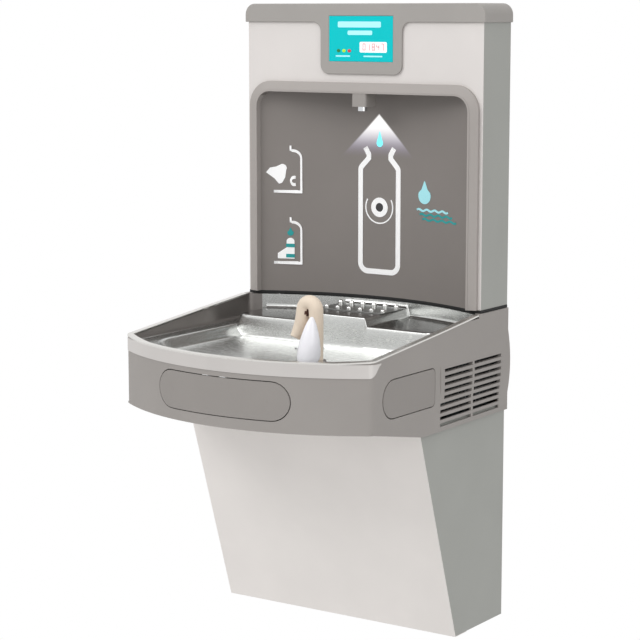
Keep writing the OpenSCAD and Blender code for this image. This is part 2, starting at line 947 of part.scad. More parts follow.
module basin() {
  color("#c9ccca")
    difference() {
      union() {
        intersection() {
          inside_alcove(basin_wall_in - basin_t, basin_wall_r,
            [floor_z - basin_t, seam_low], basin_t);
          plate_yz([-apron_d, apron_d])
            polygon(under_rim(0));
        }
        rim_band(-rim_over, rim_w, rim_t);
        intersection() {
          rim_band(-rim_over, rim_over, skirt_h);
          slab([-apron_d, apron_d], [-2 * apron_d, low_front_y],
            [0, seam_z]);
        }
      }
      difference() {
        union() {
          inside_alcove(basin_wall_in, basin_wall_r,
            [shoulder_z, seam_high + cut_over], 0);
          inside_alcove(bowl_in, bowl_corner_r,
            [floor_z, shoulder_z + cut_over], 0);
        }
        deck_block(0, floor_z - basin_t);
      }
      difference() {
        plate_xy([floor_z - basin_t - cut_over, shoulder_z - basin_t])
          polygon(plan(-rim_w, basin_wall_r));
        plate_xy([0, seam_z])
          polygon(plan(bowl_in - basin_t, bowl_corner_r + basin_t));
      }
      intersection() {
        deck_block(basin_t, floor_z - basin_t - cut_over);
        rod_z([0, alcove_y, 0], alcove_r, seam_high);
      }
      rod_z([waste_x, -waste_d, floor_z - basin_t - cut_over],
        drain_neck_r + slide_play, basin_t + 2 * cut_over);
      rod_z([bubbler_x, bubbler_y, floor_z - basin_t - cut_over],
        bubbler_stem_r + slide_play, basin_t + 2 * cut_over);
    }
}

// Bottle rest: a steel insert with two rows of raised buttons
rest_half_w = platform_half_w - 3;
rest_t = 1.5;
rest_front_d = 122;
rest_back_d = 50;
button_n = 6;
button_pitch = 22;
button_r = 4.5;
button_rows = [[105, 4], [64, 7]];

module bottle_rest() {
  color("#8e8f8d") {
    slab([-rest_half_w, rest_half_w], [-rest_front_d, -rest_back_d],
      [platform_z, platform_z + rest_t]);
    for (row = button_rows, i = [0 : button_n - 1])
      translate([(i - (button_n - 1) / 2) * button_pitch, -row[0],
        platform_z + rest_t])
        rotate_extrude($fn = 24)
          polygon([[0, 0], [button_r, 0], [button_r, row[1] / 2],
            [button_r * 0.8, row[1] * 0.85], [button_r * 0.4, row[1]],
            [0, row[1]]]);
  }
}

// Waste fitting: a strainer clamped in the bowl, with its nut and tailpiece
drain_nut_r = 27;
drain_nut_h = 9;
tail_length = 40;
strainer_hole_r = 2;
strainer_holes = 8;

module waste_fitting() {
  under = floor_z - basin_t;
  color("#b4b7b8")
    translate([waste_x, -waste_d, 0])
      difference() {
        union() {
          rod_z([0, 0, floor_z], strainer_r, drain_flange_t);
          rod_z([0, 0, under - drain_nut_h - cut_over],
            drain_neck_r, basin_t + drain_nut_h + 2 * cut_over);
          rod_z([0, 0, under - drain_nut_h], drain_nut_r, drain_nut_h);
          rod_z([0, 0, under - tail_length], waste_r, tail_length);
        }
        rod_z([0, 0, under - tail_length - cut_over], waste_r - waste_t,
          tail_length + basin_t);
        for (i = [0 : strainer_holes - 1])
          rotate(i * 360 / strainer_holes)
            rod_z([waste_r - 2 * strainer_hole_r, 0, under - cut_over],
              strainer_hole_r, 3 * cut_over + basin_t);
        rod_z([0, 0, under - cut_over], strainer_hole_r, 3 * cut_over + basin_t);
      }
}

// Trap: slip nut, J bend, elbow and the pipe that runs out through the wall
trap_nut_r = 21;
trap_nut_h = 20;

module bend(r, angle) {
  rotate_extrude(angle = angle)
    translate([trap_bend_r, 0])
      difference() {
        circle(r = r);
        circle(r = r - waste_t);
      }
}

module trap() {
  top = floor_z - basin_t - tail_length - seat_gap;
  out_z = trap_z + trap_bend_r;
  far = -waste_d + 2 * trap_bend_r;
  color("#d9dadb")
    translate([waste_x, 0, 0]) {
      difference() {
        union() {
          rod_z([0, -waste_d, trap_z], waste_r, top - trap_z);
          rod_z([0, -waste_d, top - trap_nut_h / 2], trap_nut_r, trap_nut_h / 2);
        }
        rod_z([0, -waste_d, trap_z - cut_over], waste_r - waste_t,
          top - trap_z + 2 * cut_over);
      }
      translate([0, -waste_d + trap_bend_r, trap_z])
        rotate([90, 0, 90])
          rotate(180)
            bend(waste_r, 180);
      translate([0, far + trap_bend_r, trap_z])
        rotate([90, 0, 90])
          rotate(90)
            bend(waste_r, 90);
      difference() {
        rod_y([0, far + trap_bend_r, out_z], waste_r, -far - trap_bend_r);
        rod_y([0, far + trap_bend_r - cut_over, out_z], waste_r - waste_t,
          -far - trap_bend_r + 2 * cut_over);
      }
    }
}

// Bubbler: a foot with a threaded stem and nut, a flexible hood and a stiff shield
bubbler_foot_h = 6;
bubbler_body_h = 16;
bubbler_nut_h = 8;
cone_shares = [0.93, 0.72];
bubbler_nut_r = 14;
hood_r = 10.5;
hood_bend_r = 14;
hood_shift = [-14, 12];
mouth_drop = 46;
mouth_share = 0.55;
shield_h = 69;
shield_r = 16.5;
shield_shift = [7, -14.6];
shield_shares = [[0, 0], [0.66, 0], [0.95, 0.17], [1, 0.35], [0.93, 0.58],
  [0.77, 0.74], [0.46, 0.92], [0.2, 0.99], [0, 1]];

module at_bubbler() {
  translate([bubbler_x, bubbler_y, floor_z])
    children();
}

module bubbler_base() {
  color("#c2c4c2")
    at_bubbler() {
      rod_z([0, 0, 0], bubbler_foot_r, bubbler_foot_h);
      translate([0, 0, bubbler_foot_h])
        cylinder(r1 = bubbler_foot_r * cone_shares[0],
          r2 = bubbler_foot_r * cone_shares[1], h = bubbler_body_h - bubbler_foot_h);
      rod_z([0, 0, -basin_t - 2 * bubbler_nut_h], bubbler_stem_r,
        basin_t + 2 * bubbler_nut_h + cut_over);
      rod_z([0, 0, -basin_t - bubbler_nut_h], bubbler_nut_r, bubbler_nut_h);
    }
}

module bubbler_hood() {
  bend_z = bubbler_hood_h - hood_bend_r - hood_r;
  color("#dccbb8")
    at_bubbler()
      translate([hood_shift[0], hood_shift[1], 0]) {
        rod_z([hood_bend_r, 0, bubbler_body_h], hood_r, bend_z - bubbler_body_h);
        translate([0, 0, bend_z])
          rotate([90, 0, 0])
            rotate_extrude(angle = 180)
              translate([hood_bend_r, 0])
                circle(r = hood_r);
        translate([-hood_bend_r, 0, bend_z])
          rotate([180, 0, 0])
            cylinder(r1 = hood_r, r2 = hood_r * mouth_share, h = mouth_drop);
      }
}

module bubbler_shield() {
  color("#eceaf0")
    at_bubbler()
      translate([shield_shift[0], shield_shift[1], bubbler_body_h])
        rotate_extrude()
          polygon([for (p = shield_shares) [p[0] * shield_r, p[1] * shield_h]]);
}

// Seam gasket: a black strip that follows the tower's foot, round the alcove's curve
gasket_w = 5;
gasket_out = 0.5;

module tower_foot(grow) {
  difference() {
    slab([-tower_x - grow, tower_x + grow], [-tower_d - grow, cut_over - min(grow, 0)],
      [seam_low - max(-grow, 0), seam_high + max(-grow, 0)]);
    rod_z([0, alcove_y, seam_low - gasket_w - cut_over], alcove_r - grow,
      gasket_t + 2 * gasket_w + 2 * cut_over);
  }
}

module seam_gasket() {
  color("#151515")
    difference() {
      intersection() {
        tower_foot(gasket_out);
        slab([-apron_d, apron_d], [-apron_d, 0], [0, tower_top_z]);
      }
      tower_foot(-gasket_w);
    }
}

// Tower panels: back plate, two sides and the light front
liner_cut_half_w = liner_half_w - liner_frame_w + liner_t + seat_gap;
liner_cut_top = liner_top_z - liner_frame_w + liner_t + seat_gap;
tower_anchor_z = 940;
panel_top = tower_top_z + cap_h / 3;
tower_anchor_hole_r = 4;

module tower_back_plate() {
  x = tower_x - sheet_t - seat_gap;
  color("#a9adaf")
    difference() {
      slab([-x, x], [plate_y, back_y], [seam_high, panel_top]);
      both_sides()
        rod_y([anchor_x, plate_y - cut_over, tower_anchor_z],
          tower_anchor_hole_r, chassis_t + 2 * cut_over);
    }
}

module tower_side() {
  color("#9c9d98") {
    slab([tower_x - sheet_t, tower_x], [-tower_d + sheet_t, 0],
      [seam_high, panel_top]);
    slab([tower_x - sheet_t - flange_w, tower_x - sheet_t],
      [-tower_d + sheet_t, -tower_d + 2 * sheet_t],
      [seam_high, panel_top]);
  }
}

module tower_right_side() {
  tower_side();
}

module tower_left_side() {
  mirror([1, 0, 0])
    tower_side();
}

module tower_front_panel() {
  color("#e3deda")
    difference() {
      slab([-tower_x, tower_x], [-tower_d, -tower_d + sheet_t],
        [seam_high, panel_top]);
      plate_xz([-tower_d - cut_over, -tower_d + sheet_t + cut_over])
        polygon(arch(liner_cut_half_w, seam_low,
          liner_cut_top, liner_r - liner_frame_w + liner_t));
      slab([-window_half_w - flange_w, window_half_w + flange_w],
        [-tower_d - cut_over, -tower_d + sheet_t + cut_over],
        [window_low_z - flange_w, panel_top + cut_over]);
    }
}

// Alcove liner: a curved moulding with a frame whose face slopes outwards
liner_in_half_w = liner_half_w - liner_frame_w;
liner_in_top = liner_top_z - liner_frame_w;
liner_in_r = liner_r - liner_frame_w;
frame_back_y = -tower_d - seat_gap;
frame_edge_y = -tower_d - liner_proud;
frame_lip_y = frame_edge_y - liner_slope;

// The frame's section: x is the distance in from its outer edge, y is towards the front
function frame_section(back, edge, lip) = [[0, back], [0, edge],
  [liner_frame_w, lip], [liner_frame_w + liner_t, lip], [liner_frame_w + liner_t, back]];

module liner_frame() {
  section = frame_section(-frame_back_y, -frame_edge_y, -frame_lip_y);
  corner = [liner_half_w - liner_r, liner_top_z - liner_r];
  both_sides() {
    translate([0, 0, seam_high])
      linear_extrude(corner[1] - seam_high)
        polygon([for (p = section) [liner_half_w - p[0], -p[1]]]);
    translate([corner[0], 0, corner[1]])
      rotate([90, 0, 0])
        rotate_extrude(angle = 90)
          polygon([for (p = section) [liner_r - p[0], p[1]]]);
    plate_yz([0, corner[0]])
      polygon([for (p = section) [-p[1], liner_top_z - p[0]]]);
  }
}

module alcove_cut(half_w, top, r, grow, y) {
  intersection() {
    plate_xz(y)
      polygon(arch(half_w, seam_high - max(cut_over - grow, 0), top, r));
    rod_z([0, alcove_y, seam_high - 2 * cut_over], alcove_r + grow, tower_top_z);
  }
}

module alcove_liner() {
  color("#878380")
    difference() {
      union() {
        liner_frame();
        alcove_cut(liner_in_half_w + liner_t, liner_in_top + liner_t,
          liner_in_r + liner_t, liner_t, [frame_lip_y, 0]);
      }
      alcove_cut(liner_in_half_w, liner_in_top, liner_in_r, 0,
        [frame_lip_y - cut_over, 0]);
      rod_z([0, neck_y, liner_in_top - cut_over], filler_neck_r + slide_play,
        liner_t + 2 * cut_over);
      rod_z([0, -nozzle_d + light_shift, liner_in_top - cut_over],
        light_r + slide_play, liner_t + 2 * cut_over);
      rod_y([sensor_x, -alcove_back_d - 2 * cut_over, sensor_z], sensor_r + slide_play,
        liner_t + 4 * cut_over);
    }
}

// Top cap: a moulded lid with a pocket for the display that drops over the front panel
cap_wall = 2.5;
cap_fillet_r = pocket_r;

function cap_outline() = concat(
  arc([cap_x - cap_r, cap_top_z - cap_r], cap_r, 0, 90, corner_steps),
  arc([-cap_x + cap_r, cap_top_z - cap_r], cap_r, 90, 180, corner_steps),
  [[-cap_x, tower_top_z]],
  arc([-pocket_half_w - cap_fillet_r, tower_top_z - cap_fillet_r],
    cap_fillet_r, 90, 0, corner_steps),
  arc([-pocket_half_w + pocket_r, pocket_low_z + pocket_r], pocket_r,
    180, 270, corner_steps),
  arc([pocket_half_w - pocket_r, pocket_low_z + pocket_r], pocket_r,
    -90, 0, corner_steps),
  arc([pocket_half_w + cap_fillet_r, tower_top_z - cap_fillet_r],
    cap_fillet_r, 180, 90, corner_steps),
  [[cap_x, tower_top_z]]);

module cap_band(inset, y) {
  plate_xz(y)
    polygon(arch(cap_x - inset, tower_top_z, cap_top_z - min(inset, cap_wall),
      cap_r - min(inset, cap_wall)));
}

module top_cap() {
  window_high = window_low_z + window_h;
  color("#a5a19d")
    difference() {
      union() {
        plate_xz([cap_y, -tower_d - seat_gap])
          polygon(cap_outline());
        cap_band(0, [cap_y, 0]);
        slab([-window_half_w - cap_wall, window_half_w + cap_wall],
          [-tower_d - seat_gap, -tower_d + pocket_depth],
          [window_low_z - cap_wall, tower_top_z + cut_over]);
      }
      difference() {
        translate([0, 0, -cut_over])
          cap_band(cap_over - seat_gap, [-tower_d - seat_gap, cut_over]);
        slab([-window_half_w - cap_wall, window_half_w + cap_wall],
          [-tower_d - seat_gap, -tower_d + pocket_depth],
          [0, cap_top_z]);
      }
      slab([-window_half_w, window_half_w], [cap_y - cut_over,
        -tower_d + pocket_depth + cut_over], [window_low_z, window_high]);
    }
}

pocket_depth = 10;

module display_window() {
  x = window_half_w - seat_gap;
  color("#12cfe8", 0.8)
    slab([-x, x], [cap_y + seat_gap, cap_y + seat_gap + window_t],
      [window_low_z + seat_gap, window_low_z + window_h - seat_gap]);
}

// Display board: circuit board with the screen and three status lamps
board_t = 1.6;
screen_t = 3;
lamp_r = 2.4;
lamp_pitch = 13;
lamp_x = -30;
lamp_z = 926;

module display_board() {
  x = window_half_w - seat_gap;
  z = [window_low_z + seat_gap, window_low_z + window_h - seat_gap];
  screen_y = cap_y + 2 * seat_gap + window_t;
  board_y = screen_y + screen_t;
  screen_low = lamp_z + 4 * lamp_r;
  color("#0c6f7c")
    slab([-x, x], [board_y, board_y + board_t], z);
  color("#18b8cc") {
    slab([-x, x], [screen_y, board_y], [screen_low, z[1]]);
    slab([0, x], [screen_y, board_y], [z[0], screen_low]);
  }
  for (i = [0 : 2])
    color(["#1f7a3a", "#c9d930", "#c8202c"][i])
      rod_y([lamp_x + (i - 1) * lamp_pitch, screen_y, lamp_z],
        lamp_r, screen_t);
}

// Nozzle: a housing under the alcove's ceiling, an aerator and a light behind it
filler_neck_r = 9;
filler_neck_h = 16;
nozzle_front = 12;
nozzle_back = 21;
nozzle_corner_r = 4;
neck_shift = 10.5;
neck_y = -nozzle_d + neck_shift;
nozzle_bore_r = 4;
aerator_h = 7;
aerator_holes = 6;
light_r = 5;
light_shift = 32;
light_h = 6;

module nozzle_housing() {
  low = nozzle_low_z + aerator_h;
  color("#8f8a86")
    difference() {
      union() {
        plate_xy([low, liner_in_top])
          polygon(round_rect([-nozzle_half_w, nozzle_half_w],
            [-nozzle_d - nozzle_front, -nozzle_d + nozzle_back],
            nozzle_corner_r));
        rod_z([0, neck_y, liner_in_top - cut_over], filler_neck_r,
          filler_neck_h + cut_over);
      }
      rod_z([0, -nozzle_d, low - cut_over], nozzle_bore_r, 2 * aerator_h + cut_over);
      rod_y([0, -nozzle_d, low + 2 * aerator_h], nozzle_bore_r, neck_shift);
      rod_z([0, neck_y, low + 2 * aerator_h], nozzle_bore_r, tower_top_z - low);
      rod_z([0, -nozzle_d, low - cut_over], aerator_r + slide_play,
        aerator_h + cut_over);
    }
}

module nozzle_aerator() {
  color("#b9bbbc")
    difference() {
      rod_z([0, -nozzle_d, nozzle_low_z], aerator_r, 2 * aerator_h - seat_gap);
      for (i = [0 : aerator_holes - 1])
        translate([0, -nozzle_d, 0])
          rotate(i * 360 / aerator_holes)
            rod_z([aerator_r / 2, 0, nozzle_low_z - cut_over], aerator_r / 6,
              3 * aerator_h);
      rod_z([0, -nozzle_d, nozzle_low_z + aerator_h], aerator_r * 0.8, 2 * aerator_h);
    }
}

module nozzle_light() {
  color("#f4f4ff")
    rod_z([0, -nozzle_d + light_shift, liner_in_top - seat_gap], light_r, light_h);
}

// Bottle sensor: a round window in the liner and its module on the back plate
sensor_x = 3;
sensor_box_w = 36;
sensor_box_d = 14;

module bottle_sensor() {
  color("#1c1c20") {
    rod_y([sensor_x, -alcove_back_d - seat_gap, sensor_z], sensor_r,
      alcove_back_d + plate_y - sensor_box_d + seat_gap);
    slab([sensor_x - sensor_box_w / 2, sensor_x + sensor_box_w / 2],
      [plate_y - sensor_box_d, plate_y],
      [sensor_z - sensor_box_w / 2, sensor_z + sensor_box_w / 2]);
  }
}

// Solenoid valves: a body with two ports, a coil, and a plunger that rises in the coil
valve_body = [36, 34, 22];
coil_r = 14;
coil_h = 30;
valve_bore_r = 5;
valve_stroke = 2.5;
seat_depth = 12;

// A valve drawn with its coil along +Z and its body's foot at the origin
module valve_solid() {
  difference() {
    union() {
      slab([-valve_body[0] / 2, valve_body[0] / 2],
        [-valve_body[1] / 2, valve_body[1] / 2], [0, valve_body[2]]);
      rod_z([0, 0, valve_body[2]], coil_r, coil_h);
    }
    rod_z([0, 0, valve_body[2] - seat_depth], valve_bore_r,
      seat_depth + coil_h - 2 * cut_over);
  }
}

module valve_plunger() {
  rod_z([0, 0, valve_body[2] - seat_depth + seat_gap / 2], valve_bore_r - slide_play / 2,
    seat_depth + coil_h - 2 * cut_over - valve_stroke - seat_gap);
}

filler_valve_x = -46;
filler_valve_y = plate_y - valve_body[1] / 2;

module at_filler_valve() {
  translate([filler_valve_x, filler_valve_y, liner_in_top + liner_t + filler_neck_h])
    children();
}

module filler_valve() {
  color("#d8d8d2")
    at_filler_valve()
      valve_solid();
}

module filler_valve_plunger() {
  color("#9ea2a4")
    at_filler_valve()
      valve_plunger();
}

bubbler_valve_x = 46;
bubbler_valve_d = 205;

module at_bubbler_valve() {
  translate([bubbler_valve_x, -bubbler_valve_d, shelf_top])
    children();
}

module bubbler_valve() {
  color("#d8d8d2")
    at_bubbler_valve()
      valve_solid();
}

module bubbler_valve_plunger() {
  color("#9ea2a4")
    at_bubbler_valve()
      valve_plunger();
}

// Control board and power supply, on stand-offs behind the alcove's upper wall
control_x = [84, 200];
control_z = [884, 952];
standoff_h = 10;
standoff_r = 3;
chip_w = 12;
chip_heights = [4, 8, 12, 16];
supply_x = [-200, -120];
supply_z = [884, 944];
supply_d = 34;

module control_board() {
  board = [plate_y - standoff_h - board_t, plate_y - standoff_h];
  inset = 2 * standoff_r;
  color("#1f6b3a")
    slab(control_x, board, control_z);
  color("#c9c9c4")
    for (x = [control_x[0] + inset, control_x[1] - inset],
        z = [control_z[0] + inset, control_z[1] - inset])
      rod_y([x, board[1], z], standoff_r, standoff_h);
  color("#222224")
    for (i = [0 : len(chip_heights) - 1])
      slab([control_x[0] + chip_w * (2 * i + 1), control_x[0] + chip_w * (2 * i + 2)],
        [board[0] - chip_heights[i], board[0]],
        [control_z[0] + chip_w * 2, control_z[1] - chip_w * 2]);
}

module power_supply() {
  color("#2b2c2e")
    slab(supply_x, [plate_y - supply_d, plate_y], supply_z);
}

// Compressor: a pressed pot with a seam, two stubs and a foot plate, on rubber feet
compressor_x = -134;
compressor_d = 78;
foot_h = 16;
foot_r = 11;
foot_step = 1;
foot_spread = 50;
foot_plate_t = 3;
foot_pin_r = 4;
pot_low = base_top + foot_h + foot_plate_t;
gas_stub_h = 10;
gas_stub_t = 1;
gas_out = [30, 34];
gas_in = [-20, 44];

module at_compressor() {
  translate([compressor_x, -compressor_d, 0])
    children();
}

module compressor() {
  r = compressor_r;
  h = compressor_h;
  color("#1d1e20")
    at_compressor() {
      difference() {
        slab([-foot_spread - foot_r, foot_spread + foot_r],
          [-foot_spread - foot_r, foot_spread + foot_r],
          [base_top + foot_h, pot_low]);
        for (x = [-1, 1], y = [-1, 1])
          rod_z([x * foot_spread, y * foot_spread, base_top],
            foot_pin_r + slide_play, 2 * foot_h);
      }
      translate([0, 0, pot_low])
        rotate_extrude()
          polygon([[0, 0], [r * 0.7, 0], [r * 0.93, h * 0.1], [r * 0.97, h * 0.2],
            [r * 0.97, h * 0.5], [r, h * 0.5], [r, h * 0.54], [r * 0.97, h * 0.54],
            [r * 0.94, h * 0.84], [r * 0.7, h * 0.96], [0, h]]);
      for (p = [gas_out, gas_in])
        rod_z([p[0], p[1], pot_low + h / 2], gas_r + gas_stub_t,
          h / 2 + gas_stub_h);
    }
}

module compressor_feet() {
  color("#18181a")
    at_compressor()
      for (x = [-1, 1], y = [-1, 1])
        translate([x * foot_spread, y * foot_spread, 0]) {
          rod_z([0, 0, base_top], foot_r - foot_step, foot_h);
          rod_z([0, 0, base_top + foot_h], foot_pin_r, 2 * foot_plate_t);
        }
}

// Condenser: fins on a row of tubes, between the fan shroud and the right-hand louvres
condenser_x = [188, 210];
condenser_back_d = 26;
condenser_h = 92;
condenser_tubes = 4;
condenser_tube_r = 4;
fin_t = 0.8;

module condenser() {
  y0 = -condenser_back_d - condenser_l;
  step = condenser_l / (condenser_fins - 1);
  mid = (condenser_x[0] + condenser_x[1]) / 2;
  color("#9aa0a4")
    union() {
      for (i = [0 : condenser_fins - 1])
        slab(condenser_x, [y0 + i * step - fin_t / 2, y0 + i * step + fin_t / 2],
          [shelf_top, shelf_top + condenser_h]);
      for (i = [0 : condenser_tubes - 1])
        rod_y([mid, y0 - 2 * condenser_tube_r,
          shelf_top + condenser_h * (i + 0.5) / condenser_tubes],
          condenser_tube_r, condenser_l + 4 * condenser_tube_r);
    }
}

// Fan: a shroud plate against the condenser, a motor on a foot and a bladed rotor
fan_z = shelf_top + condenser_h / 2;
fan_d = condenser_back_d + condenser_l / 2;
fan_gap = 3;
shroud_t = 2;
shroud_ring = 18;
motor_r = 20;
motor_l = 34;
motor_gap = 6;
shaft_r = 3;
hub_r = 11;
blade_w = 16;
blade_t = 1.5;
blade_tilt = 35;
shroud_x = condenser_x[0] - seat_gap - shroud_t;
rotor_x = shroud_x - shroud_ring;
motor_x = rotor_x - motor_gap - motor_l;

module fan_shroud() {
  color("#26282a")
    difference() {
      union() {
        slab([shroud_x, shroud_x + shroud_t],
          [-condenser_back_d - condenser_l, -condenser_back_d],
          [shelf_top, shelf_top + condenser_h]);
        rod_x([rotor_x, -fan_d, fan_z], fan_r + fan_gap + shroud_t, shroud_ring);
      }
      rod_x([rotor_x - cut_over, -fan_d, fan_z], fan_r + fan_gap,
        shroud_ring + 2 * shroud_t + cut_over);
      slab([rotor_x - cut_over, shroud_x + shroud_t + cut_over],
        [-2 * fan_d, 0], [0, shelf_top]);
    }
}

module fan_motor() {
  color("#3a3d40")
    difference() {
      union() {
        rod_x([motor_x, -fan_d, fan_z], motor_r, motor_l);
        slab([motor_x + motor_l / 4, motor_x + motor_l * 3 / 4],
          [-fan_d - motor_r / 2, -fan_d + motor_r / 2], [shelf_top, fan_z]);
      }
      rod_x([motor_x + motor_l / 2, -fan_d, fan_z], shaft_r + slide_play / 2,
        motor_l);
    }
}

module fan_blades() {
  color("#54585c")
    translate([0, -fan_d, fan_z])
      union() {
        rod_x([rotor_x, 0, 0], hub_r, blade_w);
        rod_x([motor_x + motor_l / 2 + seat_gap, 0, 0], shaft_r,
          rotor_x - motor_x - motor_l / 2);
        intersection() {
          for (i = [0 : fan_blades_n - 1])
            rotate([i * 360 / fan_blades_n, 0, 0])
              translate([rotor_x + blade_w / 2, 0, 0])
                rotate([0, 0, blade_tilt])
                  translate([-blade_w / 2, -blade_t / 2, 0])
                    cube([blade_w, blade_t, fan_r + cut_over]);
          rod_x([rotor_x, 0, 0], fan_r, blade_w);
        }
      }
}

// Chiller tank: a foam jacket round the tank, with its tube stubs on top
tank_x = 140;
tank_d = 75;
tank_lid_h = 6;
tank_lid_in = 3;

module chiller_tank() {
  color("#e4dcc0") {
    rod_z([tank_x, -tank_d, base_top], tank_r, tank_h - tank_lid_h);
    rod_z([tank_x, -tank_d, base_top + tank_h - tank_lid_h], tank_r - tank_lid_in, tank_lid_h);
  }
}

// Refrigerant lines: discharge and suction pipes, and the liquid line with its drier
discharge_d = 13;
discharge_z = 322;
suction_z = 304;
liquid_z = 312;
liquid_d = 216;
suction_tank_x = 150;
liquid_tank_x = 102;
liquid_tank_d = 92;
drier_r = 8;
drier_l = 54;

module refrigerant_lines() {
  mid = (condenser_x[0] + condenser_x[1]) / 2;
  low_tube_z = shelf_top + condenser_h * 0.5 / condenser_tubes;
  stub_top = pot_low + compressor_h + gas_stub_h + seat_gap;
  tank_top = base_top + tank_h + seat_gap;
  end_back = -condenser_back_d + 2 * condenser_tube_r + seat_gap;
  end_front = -condenser_back_d - condenser_l - 2 * condenser_tube_r - seat_gap;
  out = [compressor_x + gas_out[0], -compressor_d + gas_out[1]];
  in = [compressor_x + gas_in[0], -compressor_d + gas_in[1]];
  color("#b87445") {
    tube_run([[out[0], out[1], stub_top], [out[0], out[1], discharge_z],
      [out[0], -discharge_d, discharge_z], [mid, -discharge_d, discharge_z],
      [mid, -discharge_d, low_tube_z], [mid, end_back, low_tube_z]], gas_r);
    tube_run([[in[0], in[1], stub_top], [in[0], in[1], suction_z],
      [suction_tank_x, in[1], suction_z],
      [suction_tank_x, in[1], tank_top]], gas_r);
    tube_run([[mid, end_front, low_tube_z], [mid, -liquid_d, low_tube_z],
      [mid, -liquid_d, liquid_z], [liquid_tank_x, -liquid_d, liquid_z],
      [liquid_tank_x, -liquid_tank_d, liquid_z],
      [liquid_tank_x, -liquid_tank_d, tank_top]], gas_r);
    rod_x([liquid_tank_x + drier_l / 2, -liquid_d, liquid_z], drier_r, drier_l);
  }
}

// Filter: a head under the shelf and a cartridge that twists into it
filter_x = 4;
filter_d = 95;
filter_head_w = 76;
filter_head_h = 42;
filter_neck_h = 26;
filter_head_corner_r = 8;

module filter_head() {
  half = filter_head_w / 2;
  low = shelf_z - filter_head_h;
  color("#3c4654")
    difference() {
      plate_xy([low, shelf_z])
        polygon(round_rect([filter_x - half, filter_x + half],
          [-filter_d - half, -filter_d + half],
          filter_head_corner_r));
      rod_z([filter_x, -filter_d, low - cut_over], filter_neck_r + slide_play,
        filter_neck_h + seat_gap + cut_over);
    }
}

module filter_cartridge() {
  low = shelf_z - filter_head_h - seat_gap;
  color("#e9ecef")
    translate([filter_x, -filter_d, low])
      rotate_extrude()
        polygon([[0, filter_neck_h], [filter_neck_r, filter_neck_h],
          [filter_neck_r, 0], [filter_r * 0.86, 0], [filter_r, -filter_r * 0.3],
          [filter_r, -filter_h + filter_r * 0.4],
          [filter_r * 0.8, -filter_h], [0, -filter_h]]);
}

// Water lines: inlet to filter, filter to tank, tank to bubbler valve, and the riser
inlet_d = 30;
inlet_bend_r = 10;
feed_z = 326;
feed_tank_x = 104;
cold_x = 110;
cold_tank_d = 108;
cold_z = 300;
front_rise_d = 240;
bubbler_line_z = 400;
valve_port_z = 10;
riser_d = 20;
riser_low_x = 20;
riser_x = -110;

module water_lines() {
  half = filter_head_w / 2 + seat_gap;
  half_valve = valve_body[0] / 2 + seat_gap;
  tank_top = base_top + tank_h + seat_gap;
  port_z = shelf_top + valve_port_z;
  filler_z = liner_in_top + liner_t + filler_neck_h + valve_port_z;
  feed_d = filter_d - filter_neck_r;
  color("#cfd6dc") {
    rod_y([inlet_x, inlet_bend_r - inlet_d, inlet_z], tube_r, inlet_d - inlet_bend_r);
    translate([inlet_x, inlet_bend_r - inlet_d, inlet_z - inlet_bend_r])
      rotate([90, 0, 90])
        rotate(90)
          rotate_extrude(angle = 90)
            translate([inlet_bend_r, 0])
              circle(r = tube_r);
    tube_run([[inlet_x, -inlet_d, inlet_z - inlet_bend_r], [inlet_x, -inlet_d, feed_z],
      [inlet_x, -filter_d, feed_z], [filter_x - half, -filter_d, feed_z]], tube_r);
    tube_run([[filter_x + half, -feed_d, feed_z], [feed_tank_x, -feed_d, feed_z],
      [feed_tank_x, -feed_d, tank_top]], tube_r);
    tube_run([[cold_x, -cold_tank_d, tank_top], [cold_x, -cold_tank_d, cold_z],
      [cold_x, -bubbler_valve_d, cold_z], [cold_x, -bubbler_valve_d, port_z],
      [bubbler_valve_x + half_valve, -bubbler_valve_d, port_z]], tube_r);
    tube_run([[bubbler_valve_x, -bubbler_valve_d - valve_body[1] / 2 - seat_gap, port_z],
      [bubbler_valve_x, -front_rise_d, port_z],
      [bubbler_valve_x, -front_rise_d, bubbler_line_z],
      [bubbler_x, bubbler_y, bubbler_line_z],
      [bubbler_x, bubbler_y, floor_z - basin_t - 2 * bubbler_nut_h - seat_gap]], tube_r);
    tube_run([[bubbler_valve_x - half_valve, -bubbler_valve_d, port_z],
      [riser_low_x, -bubbler_valve_d, port_z], [riser_low_x, -riser_d, port_z],
      [riser_x, -riser_d, port_z], [riser_x, -riser_d, filler_z],
      [filler_valve_x - half_valve, -riser_d, filler_z]], tube_r);
    tube_run([[filler_valve_x + half_valve, filler_valve_y, filler_z],
      [0, filler_valve_y, filler_z], [0, neck_y, filler_z],
      [0, neck_y, liner_in_top + filler_neck_h + seat_gap]], tube_r);
  }
}

// Thermostat on the shelf, and the power inlet box on the chassis back
thermostat_x = [-200, -158];
thermostat_d = [150, 176];
thermostat_h = 40;
knob_r = 12;
knob_h = 12;
knob_pin_r = 3;
knob_pin_l = 8;
inlet_box_x = [-214, -170];
inlet_box_z = [290, 334];
inlet_box_d = 34;
gland_p = [(inlet_box_x[0] + inlet_box_x[1]) / 2, (inlet_box_z[0] + inlet_box_z[1]) / 2];
gland_r = 9;
gland_l = 3.5;
cord_hole_r = 5;
cord_hole_l = 22;

module thermostat() {
  color("#3a3a3c")
    difference() {
      slab(thermostat_x, [-thermostat_d[1], -thermostat_d[0]],
        [shelf_top, shelf_top + thermostat_h]);
      rod_y([(thermostat_x[0] + thermostat_x[1]) / 2, -thermostat_d[1] - cut_over,
        shelf_top + thermostat_h / 2], knob_pin_r + slide_play / 2,
        knob_pin_l + cut_over + seat_gap);
    }
}

